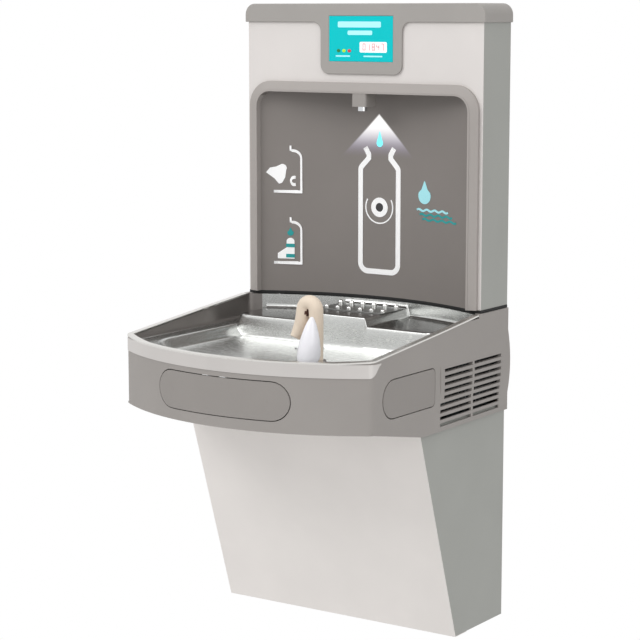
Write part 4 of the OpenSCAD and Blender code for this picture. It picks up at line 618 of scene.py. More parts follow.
def slab(bm: bmesh.types.BMesh, low: Sequence[float], high: Sequence[float]) -> list:
    """Adds a box between two corners.

    Args:
        bm: The mesh that gets the box.
        low: Its lowest corner.
        high: Its highest corner.

    Returns:
        The box's vertices.
    """
    size = [h - l for l, h in zip(low, high)]
    middle = [(l + h) / 2 for l, h in zip(low, high)]
    place = Matrix.Translation(middle) @ Matrix.Diagonal((*size, 1.0))
    return bmesh.ops.create_cube(bm, size=1.0, matrix=place)["verts"]


def arc(centre: Point, radius: float, start: float, end: float, steps: int) -> list[Point]:
    """Points along an arc.

    Args:
        centre: The arc's centre.
        radius: Its radius.
        start: The first angle, in degrees.
        end: The last angle, in degrees.
        steps: Steps between them.

    Returns:
        The points, both ends included.
    """
    angles = [math.radians(start + (end - start) * i / steps) for i in range(steps + 1)]
    return [(centre[0] + radius * math.cos(a), centre[1] + radius * math.sin(a)) for a in angles]


@dataclass
class Studio:
    """The camera, the soft lights and the pale floor."""

    camera_place: tuple[float, float, float] = (1.80357, -2.85874, 0.51766)
    yaw: float = 34.22
    pitch: float = -8.64
    lens: float = 113.9
    sensor: float = 36.0
    floor_z: float = -0.95
    floor_size: float = 12.0
    aim: tuple[float, float, float] = (0.0, -0.2, 0.0)
    lamps: tuple[tuple, ...] = (
        ("key", (-1.6, -3.0, 2.6), 2.4, 62.0),
        ("fill", (3.2, -1.8, 1.2), 2.2, 26.0),
        ("top", (0.2, -0.9, 2.9), 1.8, 16.0))
    daylight: float = 0.62

    def build(self) -> None:
        """Sets up everything that isn't part of the object."""
        bpy.context.scene.view_settings.view_transform = "Standard"
        self.camera()
        self.surroundings()
        self.floor()
        for lamp in self.lamps:
            self.lamp(*lamp)

    def camera(self) -> None:
        """Places the camera where the picture was taken from."""
        data = bpy.data.cameras.new("camera")
        data.lens = self.lens
        data.sensor_width = self.sensor
        camera = bpy.data.objects.new("camera", data)
        camera.location = self.camera_place
        camera.rotation_euler = (math.radians(90 + self.pitch), 0.0, math.radians(self.yaw))
        bpy.context.scene.collection.objects.link(camera)
        bpy.context.scene.camera = camera

    def surroundings(self) -> None:
        """Lights the scene evenly and shows white to the camera, mirrors and glass."""
        world = bpy.data.worlds.new("studio")
        bpy.context.scene.world = world
        world.use_nodes = True
        tree = world.node_tree
        tree.nodes.clear()
        ray = node(tree, "ShaderNodeLightPath")
        seen = node(tree, "ShaderNodeMath", {
            0: ray.outputs["Is Camera Ray"], 1: ray.outputs["Is Transmission Ray"]},
            operation="MAXIMUM")
        shown = node(tree, "ShaderNodeMath", {0: seen.outputs[0], 1: ray.outputs["Is Glossy Ray"]},
                     operation="MAXIMUM")
        strength = node(tree, "ShaderNodeMapRange", {
            "Value": shown.outputs[0], "To Min": self.daylight, "To Max": 1.0})
        light = node(tree, "ShaderNodeBackground", {
            "Color": (1.0, 1.0, 1.0, 1.0), "Strength": strength.outputs["Result"]})
        out = node(tree, "ShaderNodeOutputWorld")
        tree.links.new(light.outputs["Background"], out.inputs["Surface"])

    def floor(self) -> None:
        """Makes a pale floor, plain white to the camera and mirrors, and clear from below."""
        bm = bmesh.new()
        bmesh.ops.create_grid(bm, x_segments=4, y_segments=4, size=self.floor_size,
                              matrix=Matrix.Translation((0.0, 0.0, self.floor_z)))
        mesh = bpy.data.meshes.new("floor")
        bm.to_mesh(mesh)
        bm.free()
        pale = bpy.data.materials.new("floor_pale")
        pale.use_nodes = True
        tree = pale.node_tree
        tree.nodes.clear()
        ray = node(tree, "ShaderNodeLightPath")
        base = node(tree, "ShaderNodeBsdfDiffuse", {"Color": (0.86, 0.86, 0.86, 1.0)})
        white = node(tree, "ShaderNodeEmission", {"Color": (1.0, 1.0, 1.0, 1.0)})
        seen = node(tree, "ShaderNodeMath", {
            0: ray.outputs["Is Camera Ray"], 1: ray.outputs["Is Glossy Ray"]}, operation="MAXIMUM")
        mixed = node(tree, "ShaderNodeMixShader", {
            0: seen.outputs[0], 1: base.outputs[0], 2: white.outputs[0]})
        below = node(tree, "ShaderNodeNewGeometry").outputs["Backfacing"]
        clear = node(tree, "ShaderNodeBsdfTransparent")
        sided = node(tree, "ShaderNodeMixShader", {
            0: below, 1: mixed.outputs[0], 2: clear.outputs[0]})
        out = node(tree, "ShaderNodeOutputMaterial")
        tree.links.new(sided.outputs[0], out.inputs["Surface"])
        mesh.materials.append(pale)
        floor = bpy.data.objects.new("floor", mesh)
        bpy.context.scene.collection.objects.link(floor)

    def lamp(self, name: str, place: tuple[float, float, float], size: float, power: float) -> None:
        """Adds a soft lamp that faces the object's middle.

        Args:
            name: The lamp's name.
            place: Where it stands.
            size: The side of its square face.
            power: Its power in watts.
        """
        data = bpy.data.lights.new(name, "AREA")
        data.size = size
        data.energy = power
        lamp = bpy.data.objects.new(name, data)
        lamp.location = place
        way = Vector(self.aim) - Vector(place)
        lamp.rotation_euler = way.to_track_quat("-Z", "Y").to_euler()
        bpy.context.scene.collection.objects.link(lamp)


@dataclass
class Plan:
    """The unit's outline seen from above: a bowed front, round corners and tapering sides."""

    side_x: float = 0.2325
    rear_x: float = 0.229
    depth: float = 0.484
    front_r: float = 0.398
    corner_r: float = 0.016
    step_y: float = -0.219
    alcove_y: float = -0.4785
    alcove_r: float = 0.443

    def outline(self, inset: float, corner_r: float | None = None) -> list[Point]:
        """Gives the outline, moved inwards.

        Args:
            inset: How far it is moved inwards.
            corner_r: The front corners' radius, or None for what the inset leaves.

        Returns:
            Points from the wall at the right, round the front, to the wall at the left.
        """
        radius = self.corner_r - inset if corner_r is None else corner_r
        side, big = self.side_x - inset, self.front_r - inset
        middle_y = self.front_r - self.depth
        cx = side - radius
        cy = middle_y - math.sqrt((big - radius) ** 2 - cx ** 2)
        turn = math.degrees(math.atan2(cy - middle_y, cx))
        half = [(self.rear_x - inset, 0.0), (side, self.step_y)]
        half += arc((cx, cy), radius, 0, turn, 10)
        half += arc((0.0, middle_y), big, turn, -90, 22)[1:]
        return half + [(-x, y) for x, y in reversed(half[:-1])]

    def alcove_edge(self, grow: float = 0.0) -> list[Point]:
        """Gives points along the alcove's curve, from right to left, grown outwards."""
        return arc((0.0, self.alcove_y), self.alcove_r + grow, 56, 124, 26)

    def trim(self, bm: bmesh.types.BMesh, inset: float, corner_r: float | None = None,
             grow: float = 0.0) -> None:
        """Cuts a mesh to the outline and to the alcove's curve.

        Args:
            bm: The mesh, seen from above.
            inset: How far the outline is moved inwards.
            corner_r: The front corners' radius.
            grow: How far the alcove's curve is moved outwards.
        """
        for points, centre in ((self.outline(inset, corner_r), (0.0, -0.25)),
                               (self.alcove_edge(grow), (0.0, self.alcove_y))):
            for a, b in zip(points, points[1:]):
                self.cut(bm, a, b, centre)

    @staticmethod
    def cut(bm: bmesh.types.BMesh, a: Point, b: Point, centre: Point) -> None:
        """Cuts away what lies past the upright plane through two points.

        Args:
            bm: The mesh.
            a: The first point.
            b: The second point.
            centre: A point on the side that stays.
        """
        normal = Vector((b[1] - a[1], a[0] - b[0], 0.0))
        if normal.length < MERGE:
            return
        if normal.dot(Vector((a[0] - centre[0], a[1] - centre[1], 0.0))) < 0:
            normal.negate()
        bmesh.ops.bisect_plane(bm, geom=bm.verts[:] + bm.edges[:] + bm.faces[:], dist=MERGE / 10,
                               plane_co=(a[0], a[1], 0.0), plane_no=normal, clear_outer=True)


def smooth_step(value: float, low: float, high: float) -> float:
    """Eases from 0 at low to 1 at high."""
    t = min(1.0, max(0.0, (value - low) / (high - low)))
    return t * t * (3 - 2 * t)


def box_distance(x: float, y: float, half: Point, centre: Point, corner: float) -> float:
    """Gives how far a point lies inside a rounded rectangle.

    Args:
        x: The point's X.
        y: The point's Y.
        half: The rectangle's half sizes.
        centre: Its centre.
        corner: The radius of its corners.

    Returns:
        The distance to the edge, above zero inside.
    """
    dx = abs(x - centre[0]) - half[0] + corner
    dy = abs(y - centre[1]) - half[1] + corner
    outside = math.hypot(max(dx, 0.0), max(dy, 0.0))
    return corner - outside - min(max(dx, dy), 0.0)


@dataclass
class Basin:
    """The pressed steel basin: bowl, shoulder, deck, platform, rolled rim and skirt."""

    plan: Plan
    shoulder_z: float = 0.003
    floor_z: float = -0.015
    deck_z: float = 0.020
    platform_z: float = 0.034
    seam_low: float = 0.0445
    rim_front_z: float = 0.011
    rim_rise_y: float = -0.440
    rim_level_y: float = -0.102
    wall_in: float = 0.009
    foot_r: float = 0.007
    shoulder_w: float = 0.026
    bowl_corner_r: float = 0.040
    bowl_run: float = 0.020
    deck_front_y: float = -0.175
    deck_half_w: float = 0.198
    deck_corner_r: float = 0.020
    platform_half_w: float = 0.066
    roll: float = 0.006
    steel: float = 0.0012
    squares: int = 112
    rim_over: float = 0.001
    rim_w: float = 0.010
    rim_t: float = 0.0025
    rim_edge: float = 0.0011
    skirt_t: float = 0.0009
    skirt_tuck: float = 0.002
    skirt_tip_h: float = 0.004
    skirt_cuts: int = 5
    skirt_pitch: float = 0.004
    skirt_h: float = 0.0225
    skirt_turn_y: float = -0.413
    skirt_end_y: float = -0.390
    rest_t: float = 0.0015
    rest_edge: float = 0.0003

    def build(self) -> None:
        """Makes the basin's pieces."""
        self.bowl()
        self.rim()
        self.skirt()
        self.rest()

    def rim_height(self, y: float) -> float:
        """Gives the rim's height at a depth: level in front, rising to the seam."""
        share = (y - self.rim_rise_y) / (self.rim_level_y - self.rim_rise_y)
        return self.rim_front_z + (self.seam_low - self.rim_front_z) * min(1.0, max(0.0, share))

    def inside(self, x: float, y: float, inset: float, corner: float) -> float:
        """Gives how far a point lies inside the bowed outline.

        Args:
            x: The point's X.
            y: The point's Y.
            inset: How far the outline is moved inwards.
            corner: How softly the front corners turn.

        Returns:
            The distance to the nearest side, above zero inside.
        """
        p = self.plan
        taper = (p.side_x - p.rear_x) * min(1.0, max(0.0, (y - p.step_y) / -p.step_y))
        side = p.side_x - inset - taper - abs(x)
        front = p.front_r - inset - math.hypot(x, y - p.front_r + p.depth)
        alcove = p.alcove_r - inset + self.wall_in - math.hypot(x, y - p.alcove_y)
        near = min(side, front)
        if side < corner and front < corner:
            near = corner - math.hypot(corner - side, corner - front)
        return min(near, alcove)

    def height(self, x: float, y: float) -> float:
        """Gives the steel's height at a place: shoulder, bowl, deck or platform."""
        into = self.inside(x, y, self.wall_in + self.shoulder_w, self.bowl_corner_r)
        z = self.shoulder_z + (self.floor_z - self.shoulder_z) * smooth_step(
            into, -0.003, self.bowl_run)
        deck = box_distance(x, y, (self.deck_half_w, -self.deck_front_y),
                            (0.0, 0.0), self.deck_corner_r)
        raised = box_distance(x, y, (self.platform_half_w, -self.deck_front_y),
                              (0.0, 0.0), self.roll)
        z += (self.deck_z - z) * smooth_step(deck, 0.0, self.roll)
        return z + (self.platform_z - self.deck_z) * smooth_step(raised, 0.0, self.roll)

    def bowl(self) -> None:
        """Presses the sheet: a grid cut to the outline, raised by place, with walls drawn up."""
        bm = bmesh.new()
        half = self.plan.depth / 2
        bmesh.ops.create_grid(bm, x_segments=self.squares, y_segments=self.squares, size=half,
                              matrix=Matrix.Translation((0.0, -half, 0.0)))
        inwards = [self.roll * (i / 6 - 0.1) for i in range(8)]
        self.score(bm, (0.0, 1.0, 0.0), [self.deck_front_y + into for into in inwards])
        for edge in (self.platform_half_w, self.deck_half_w):
            steps = [edge - into for into in inwards]
            self.score(bm, (1.0, 0.0, 0.0), [s * x for x in steps for s in (-1, 1)])
        self.plan.trim(bm, self.wall_in + self.foot_r, grow=-self.foot_r)
        bmesh.ops.remove_doubles(bm, verts=bm.verts[:], dist=0.0002)
        for vert in bm.verts:
            vert.co.z = self.height(vert.co.x, vert.co.y)
        self.draw_walls(bm)
        bmesh.ops.recalc_face_normals(bm, faces=bm.faces[:])
        if sum(f.normal.z for f in bm.faces) < 0:
            bmesh.ops.reverse_faces(bm, faces=bm.faces[:])
        piece = publish(bm, "basin_bowl", BASIN_STEEL, stands_for=["basin"],
                        crease=math.radians(60))
        # Painted reflection: the deck and platform tops take the darker copy of the steel.
        second_finish(piece, DECK_STEEL_PAINTED_REFLECTION, self.is_deck_with_painted_reflection)
        # Painted reflection: the left wall takes the darker, rougher copy of the steel.
        second_finish(piece, WALL_STEEL_PAINTED_REFLECTION, self.is_left_wall_with_painted_reflection)
        thicken(piece, self.steel, -1.0)

    def is_deck_with_painted_reflection(self, face: bpy.types.MeshPolygon) -> bool:
        """Tells whether a face is on the deck or the platform, whose darker steel colour is a painted
        reflection of the dark alcove.
        """
        return face.center.z > self.deck_z - 0.002 and face.normal.z > 0.7

    def is_left_wall_with_painted_reflection(self, face: bpy.types.MeshPolygon) -> bool:
        """Tells whether a face is on the left wall, whose grain is duller and whose darker steel colour
        is a painted reflection.
        """
        x, _, z = face.center
        return x < -self.deck_half_w - self.roll and z > self.shoulder_z + 0.002

    @staticmethod
    def score(bm: bmesh.types.BMesh, normal: tuple[float, float, float],
              places: Sequence[float]) -> None:
        """Adds edges along planes square to an axis.

        Args:
            bm: The mesh.
            normal: The axis.
            places: Where the planes cross it.
        """
        for place in places:
            bmesh.ops.bisect_plane(bm, geom=bm.verts[:] + bm.edges[:] + bm.faces[:],
                                   plane_co=Vector(normal) * place, plane_no=normal)

    def draw_walls(self, bm: bmesh.types.BMesh) -> None:
        """Turns the sheet's edge up in a round foot and draws it to the rim.

        Args:
            bm: The pressed sheet.
        """
        ring = [e for e in bm.edges if e.is_boundary]
        start = {v: v.co.copy() for e in ring for v in e.verts}
        out = {v: self.outward(v.co) for v in start}
        steps = 5
        for i in range(1, steps + 2):
            grown = bmesh.ops.extrude_edge_only(bm, edges=ring)["geom"]
            new = [g for g in grown if isinstance(g, bmesh.types.BMVert)]
            ring = [g for g in grown if isinstance(g, bmesh.types.BMEdge) and g.is_boundary]
            nearest = {}
            for vert in new:
                old = next(o for e in vert.link_edges for o in [e.other_vert(vert)] if o in start)
                nearest[vert] = old
            turn = math.radians(90 * min(i, steps) / steps)
            for vert, old in nearest.items():
                base = start[old]
                side = out[old] * self.foot_r * math.sin(turn)
                vert.co = base + side + Vector((0.0, 0.0, self.foot_r * (1 - math.cos(turn))))
                if i > steps:
                    vert.co.z = self.rim_height(vert.co.y) - self.steel
            out = {vert: out[old] for vert, old in nearest.items()}
            start = {vert: start[old] for vert, old in nearest.items()}

    def outward(self, place: Vector) -> Vector:
        """Gives the level direction out of the outline at its nearest side."""
        p = self.plan
        step = 0.0005
        base = self.inside(place.x, place.y, self.wall_in, p.corner_r)
        slope = Vector((base - self.inside(place.x + step, place.y, self.wall_in, p.corner_r),
                        base - self.inside(place.x, place.y + step, self.wall_in, p.corner_r), 0.0))
        return slope.normalized()

    def rim(self) -> None:
        """Rolls the rim: a ring that follows the outline and the rim's slope."""
        bm = bmesh.new()
        outline = self.plan.outline(-self.rim_over)
        face = bm.faces.new([bm.verts.new((x, y, 0.0)) for x, y in outline])
        bm.normal_update()
        bmesh.ops.inset_region(bm, faces=[face], thickness=self.rim_w, use_even_offset=True,
                               use_boundary=True)
        bmesh.ops.delete(bm, geom=[face], context="FACES_ONLY")
        for a, b in zip(self.plan.alcove_edge(), self.plan.alcove_edge()[1:]):
            self.plan.cut(bm, a, b, (0.0, self.plan.alcove_y))
        grown = bmesh.ops.extrude_face_region(bm, geom=bm.faces[:])["geom"]
        bmesh.ops.translate(bm, vec=(0.0, 0.0, -self.rim_t),
                            verts=[g for g in grown if isinstance(g, bmesh.types.BMVert)])
        bmesh.ops.recalc_face_normals(bm, faces=bm.faces[:])
        bmesh.ops.dissolve_limit(bm, angle_limit=math.radians(0.2), verts=bm.verts[:],
                                 edges=bm.edges[:])
        self.score(bm, (0.0, 1.0, 0.0), [self.rim_rise_y, self.rim_level_y])
        soften(bm, self.rim_edge, 3, lambda edge: abs(edge.verts[0].co.z - edge.verts[1].co.z) < MERGE)
        for vert in bm.verts:
            vert.co.z += self.rim_height(vert.co.y)
        # The rim takes the lighter copy of the steel, a painted highlight.
        publish(bm, "basin_rim", RIM_STEEL_PAINTED_HIGHLIGHT)

    def skirt(self) -> None:
        """Folds the rim's steel down over the apron's front."""
        bm = bmesh.new()
        top = self.rim_front_z - self.skirt_tuck
        verts = [bm.verts.new((x, y, top)) for x, y in self.plan.outline(0.0)]
        edges = [bm.edges.new(pair) for pair in zip(verts, verts[1:])]
        grown = bmesh.ops.extrude_edge_only(bm, edges=edges)["geom"]
        bmesh.ops.translate(bm, vec=(0.0, 0.0, self.skirt_tuck - self.skirt_h),
                            verts=[g for g in grown if isinstance(g, bmesh.types.BMVert)])
        bmesh.ops.bisect_plane(bm, geom=bm.verts[:] + bm.edges[:] + bm.faces[:],
                               plane_co=(0.0, self.skirt_end_y, 0.0), plane_no=(0.0, 1.0, 0.0),
                               clear_outer=True)
        self.score(bm, (0.0, 1.0, 0.0), [self.skirt_end_y - self.skirt_pitch * i
                                         for i in range(1, self.skirt_cuts)])
        for vert in bm.verts:
            if vert.co.z < top - self.steel:
                vert.co.z += (self.skirt_h - self.skirt_tip_h) * smooth_step(
                    vert.co.y, self.skirt_turn_y, self.skirt_end_y)
        bmesh.ops.recalc_face_normals(bm, faces=bm.faces[:])
        if sum(f.normal.dot(f.calc_center_median() - Vector((0.0, -0.3, 0.0)))
               for f in bm.faces) < 0:
            bmesh.ops.reverse_faces(bm, faces=bm.faces[:])
        # The skirt takes the greyer copy of the steel, a painted shade.
        thicken(publish(bm, "basin_skirt", SKIRT_STEEL_PAINTED_SHADE), self.skirt_t, 1.0)

    def rest(self) -> None:
        """Makes the bottle rest and its buttons."""
        rest = softened_node("bottle_rest", REST_STEEL, self.rest_edge)
        button_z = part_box("bottle_rest")[0].z + self.rest_t + self.rest_edge + MERGE
        # Painted highlight: the faces above the plate, the buttons, take the near-white copy of the
        # steel.
        second_finish(rest, BUTTON_STEEL_PAINTED_HIGHLIGHT, lambda face: face.center.z > button_z)


@dataclass
class Bubbler:
    """The drinking head: chrome foot, flexible hood and stiff shield."""

    foot: tuple[float, float, float] = (0.108, -0.388, -0.015)
    body_h: float = 0.016
    leg_x: float = 0.108
    mouth_x: float = 0.0855
    hood_y: float = -0.376
    hood_r: float = 0.0105
    bend_z: float = 0.0755
    bend_share: float = 1.06
    bend_steps: int = 8
    leg_z: float = 0.03
    leg_shares: Point = (1.02, 1.05)
    spout: tuple[tuple[float, float, float, float], ...] = (
        (-0.002, 0.0, 0.058, 1.1), (-0.006, -0.002, 0.046, 1.0), (-0.010, -0.009, 0.0325, 0.74))
    base_edge: float = 0.0006
    shield_place: Point = (0.115, -0.4026)
    shield_h: float = 0.069
    shield_r: float = 0.0165
    shield_shares: tuple[Point, ...] = (
        (0.0, 0.0), (0.9, 0.0), (1.02, 0.05), (1.08, 0.14), (1.05, 0.3), (0.92, 0.48),
        (0.72, 0.66), (0.49, 0.83), (0.3, 0.93), (0.14, 0.985), (0.0, 1.0))
    shield_lean: float = 0.007
    lip: float = 0.0014
    mouth_depth: float = 0.005
    mouth_shade_reach: float = 0.0062

    def build(self) -> None:
        """Makes the bubbler's pieces."""
        softened_node("bubbler_base", CHROME, self.base_edge)
        self.hood()
        self.shield()

    def hood(self) -> None:
        """Moulds the hood: a leg, a bend and a spout that narrows to its mouth.

        The spout's rows hold how far it lies from the mouth's side in X and Y, its height and
        its share of the hood's radius.
        """
        middle = (self.leg_x + self.mouth_x) / 2
        bend = (self.leg_x - self.mouth_x) / 2
        y = self.hood_y
        low, high = self.leg_shares
        path = [(self.leg_x, y, self.foot[2] + self.body_h, low), (self.leg_x, y, self.leg_z, high)]
        path += [(x, y, z, self.bend_share)
                 for x, z in arc((middle, self.bend_z), bend, 0, 180, self.bend_steps)]
        path += [(self.mouth_x + dx, y + dy, z, share) for dx, dy, z, share in self.spout]
        curve = bpy.data.curves.new("hood_path", "CURVE")
        curve.dimensions = "3D"
        curve.bevel_depth = self.hood_r
        curve.bevel_resolution = 9
        curve.use_fill_caps = True
        spline = curve.splines.new("NURBS")
        spline.points.add(len(path) - 1)
        for point, (x, y, z, share) in zip(spline.points, path):
            point.co = (x, y, z, 1.0)
            point.radius = share
        spline.use_endpoint_u = True
        spline.order_u = 3
        spline.resolution_u = 6
        holder = bpy.data.objects.new("hood_path", curve)
        bpy.context.scene.collection.objects.link(holder)
        bpy.context.view_layer.update()
        shape = holder.evaluated_get(bpy.context.evaluated_depsgraph_get())
        mesh = bpy.data.meshes.new_from_object(shape)
        bm = bmesh.new()
        bm.from_mesh(mesh)
        bpy.data.objects.remove(holder)
        bmesh.ops.remove_doubles(bm, verts=bm.verts[:], dist=MERGE)
        bmesh.ops.holes_fill(bm, edges=[e for e in bm.edges if e.is_boundary], sides=0)
        bmesh.ops.recalc_face_normals(bm, faces=bm.faces[:])
        end = max((f for f in bm.faces if f.calc_center_median().x < middle),
                  key=lambda f: len(f.verts))
        way = end.normal.copy()
        bmesh.ops.inset_region(bm, faces=[end], thickness=self.lip)
        bmesh.ops.translate(bm, vec=way * -self.mouth_depth, verts=end.verts[:])
        mouth = end.calc_center_median()
        piece = publish(bm, "bubbler_hood_finished", HOOD_RUBBER, stands_for=["bubbler_hood"],
                        crease=math.radians(50))
        # Painted shade: the faces near the mouth take the dark copy of the rubber, standing in for the
        # shade inside the opening.
        second_finish(piece, HOOD_MOUTH_PAINTED_SHADE,
                      lambda face: (face.center - mouth).length < self.mouth_shade_reach)

    def shield(self) -> None:
        """Spins the shield's rounded cone."""
        bm = bmesh.new()
        low = self.foot[2] + self.body_h
        x, y = self.shield_place
        verts = [bm.verts.new((x + r * self.shield_r, y, low + h * self.shield_h))
                 for r, h in self.shield_shares]
        edges = [bm.edges.new(pair) for pair in zip(verts, verts[1:])]
        bmesh.ops.spin(bm, geom=verts + edges, cent=(x, y, 0.0), axis=(0.0, 0.0, 1.0),
                       angle=math.tau, steps=56, use_merge=True)
        for vert in bm.verts:
            vert.co.x += self.shield_lean * ((vert.co.z - low) / self.shield_h - 0.5)
        publish(bm, "bubbler_shield_finished", SHIELD_GLOSS, stands_for=["bubbler_shield"],
                turn_out=True, crease=math.radians(60))


@dataclass
class Apron:
    """The moulded surround and its three push bars."""

    edge: float = 0.0006
    bar_edge: float = 0.0006
    foot_edge: float = 0.0026
    foot_top_z: float = -0.095
    front_r: float = 0.398
    middle_y: float = -0.086
    side_in: float = 0.2283
    bars: tuple[str, ...] = ("front_push", "left_push", "right_push")

    def build(self) -> None:
        """Makes the apron's pieces."""
        bm = merged_copy("apron_shroud")
        soften(bm, self.foot_edge, 4, self.is_foot)
        soften(bm, self.edge, 2, lambda edge: edge.verts[0].co.z > self.foot_top_z)
        publish(bm, "apron_shroud_finished", APRON_GREY, stands_for=["apron_shroud"])
        for bar in self.bars:
            softened_node(bar, PUSH_GREY, self.bar_edge, 2, bar)

    def is_foot(self, edge: bmesh.types.BMEdge) -> bool:
        """Tells whether an edge runs along the outside of the apron's lower rim."""
        a, b = (vert.co for vert in edge.verts)
        low = max(a.z, b.z) < self.foot_top_z and abs(a.z - b.z) < 0.03
        reach = min(math.hypot(p.x, p.y - self.middle_y) for p in (a, b))
        front = reach > self.front_r - 0.001 and max(a.y, b.y) < -0.3
        side = min(abs(a.x), abs(b.x)) > self.side_in
        return low and (front or side)


@dataclass
class Springs:
    """The coil springs that push the bars back out, two behind each bar."""

    coil_r: float = 0.007
    wire_r: float = 0.0009
    turns: int = 6
    steps: int = 20
    travel: float = 0.004
    sets: tuple[tuple[str, str, int, float], ...] = (
        ("front_springs", "front_push_travel", 1, -0.446),
        ("left_springs", "left_push_travel", 0, -0.1945),
        ("right_springs", "right_push_travel", 0, 0.1945))

    def build(self) -> None:
        """Winds each set."""
        for name, joint, along, fixed in self.sets:
            low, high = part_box(name)
            across = 1 - along
            length = high[along] - low[along]
            bm = bmesh.new()
            for place in (low[across] + self.coil_r, high[across] - self.coil_r):
                start = Vector((0.0, 0.0, (low.z + high.z) / 2))
                start[across] = place
                start[along] = low[along] + self.wire_r
                self.coil(bm, start, along, length - 2 * self.wire_r)
            bmesh.ops.holes_fill(bm, edges=[e for e in bm.edges if e.is_boundary], sides=0)
            piece = publish(bm, f"{name}_wound", SPRING_STEEL, stands_for=[name], turn_out=True)
            way, anchor = [0.0, 0.0, 0.0], [0.0, 0.0, 0.0]
            way[along], anchor[along] = 1.0, fixed
            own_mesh(piece)

    def coil(self, bm: bmesh.types.BMesh, start: Vector, along: int, length: float) -> None:
        """Winds one open coil.

        Args:
            bm: The mesh that gets the coil.
            start: The middle of its first turn.
            along: The place of its axis, 0 for X and 1 for Y.
            length: How far it winds along its axis.
        """
        way = Vector((0.0, 0.0, 0.0))
        way[along] = 1.0
        up = Vector((0.0, 0.0, 1.0))
        place = Matrix.Translation(start + up * (self.coil_r - self.wire_r))
        turn = way.cross(up).to_track_quat("Z", "Y").to_matrix().to_4x4()
        verts = bmesh.ops.create_circle(bm, segments=8, radius=self.wire_r,
                                        matrix=place @ turn)["verts"]
        count = self.turns * self.steps
        bmesh.ops.spin(bm, geom=verts + list({e for v in verts for e in v.link_edges}),
                       cent=start, axis=way, dvec=way * (length / count),
                       angle=math.tau * self.turns, steps=count)


@dataclass
class Sheets:
    """The painted sheets of the cabinet and the tower."""

    fold: float = 0.00045
    gasket_edge: float = 0.0008
    cap_edge: float = 0.0014
    screw_edge: float = 0.0004

    def build(self) -> None:
        """Makes the painted pieces, the gasket and the cap."""
        softened_node("cabinet_front_panel", PAINT_LIGHT, self.fold)
        softened_node("tower_front_panel", PAINT_TOWER, self.fold)
        for side in ("cabinet_left_side", "cabinet_right_side",
                     "tower_left_side", "tower_right_side"):
            softened_node(side, PAINT_GREY, self.fold)
        softened_node("seam_gasket", GASKET, self.gasket_edge)
        softened_node("top_cap", CAP_GREY, self.cap_edge, 3)
        softened_node("panel_screws", SCREW_STEEL, self.screw_edge)


@dataclass
class Mark:
    """Printed marks that lie on the alcove's curved back."""

    plan: Plan
    lift: float = SKIN
    thick: float = 0.0003

    def back_y(self, x: float) -> float:
        """Gives the liner's surface at a place across the alcove."""
        return self.plan.alcove_y + math.sqrt(self.plan.alcove_r ** 2 - x ** 2)

    def wrap(self, bm: bmesh.types.BMesh) -> None:
        """Bends a flat mark, drawn at Y = 0 and in front of it, on to the liner."""
        for vert in bm.verts:
            vert.co.y += self.back_y(vert.co.x) - self.lift

    def shape(self, name: str, points: Sequence[Point], finish: Finish) -> None:
        """Prints a filled outline.

        Args:
            name: The mark's name.
            points: Its outline, as X and Z.
            finish: Its ink.
        """
        bm = bmesh.new()
        face = bm.faces.new([bm.verts.new((x, 0.0, z)) for x, z in points])
        lows = [min(p[i] for p in points) for i in (0, 1)]
        highs = [max(p[i] for p in points) for i in (0, 1)]
        for axis, normal in ((0, (1.0, 0.0, 0.0)), (1, (0.0, 0.0, 1.0))):
            count = max(1, int((highs[axis] - lows[axis]) / 0.006))
            Basin.score(bm, normal, [lows[axis] + (highs[axis] - lows[axis]) * i / count
                                     for i in range(1, count)])
        grown = bmesh.ops.extrude_face_region(bm, geom=bm.faces[:])["geom"]
        bmesh.ops.translate(bm, vec=(0.0, -self.thick, 0.0),
                            verts=[g for g in grown if isinstance(g, bmesh.types.BMVert)])
        self.wrap(bm)
        publish(bm, name, finish, turn_out=True)

    def stroke(self, name: str, points: Sequence[Point], width: float, finish: Finish,
               closed: bool = False) -> None:
        """Prints a line of even width.

        Args:
            name: The mark's name.
            points: The line's middle, as X and Z.
            width: Its width.
            finish: Its ink.
            closed: Whether it joins its own start.
        """
        bm = bmesh.new()
        verts = [bm.verts.new((x, 0.0, z)) for x, z in points]
        pairs = list(zip(verts, verts[1:])) + ([(verts[-1], verts[0])] if closed else [])
        edges = [bm.edges.new(pair) for pair in pairs]
        grown = bmesh.ops.extrude_edge_only(bm, edges=edges)["geom"]
        bmesh.ops.translate(bm, vec=(0.0, -self.thick, 0.0),
                            verts=[g for g in grown if isinstance(g, bmesh.types.BMVert)])
        bmesh.ops.recalc_face_normals(bm, faces=bm.faces[:])
        self.wrap(bm)
        piece = publish(bm, name, finish)
        piece.modifiers.clear()
        line = piece.modifiers.new("line_width", "SOLIDIFY")
        line.thickness = width
        line.offset = 0.0
        line.use_even_offset = True


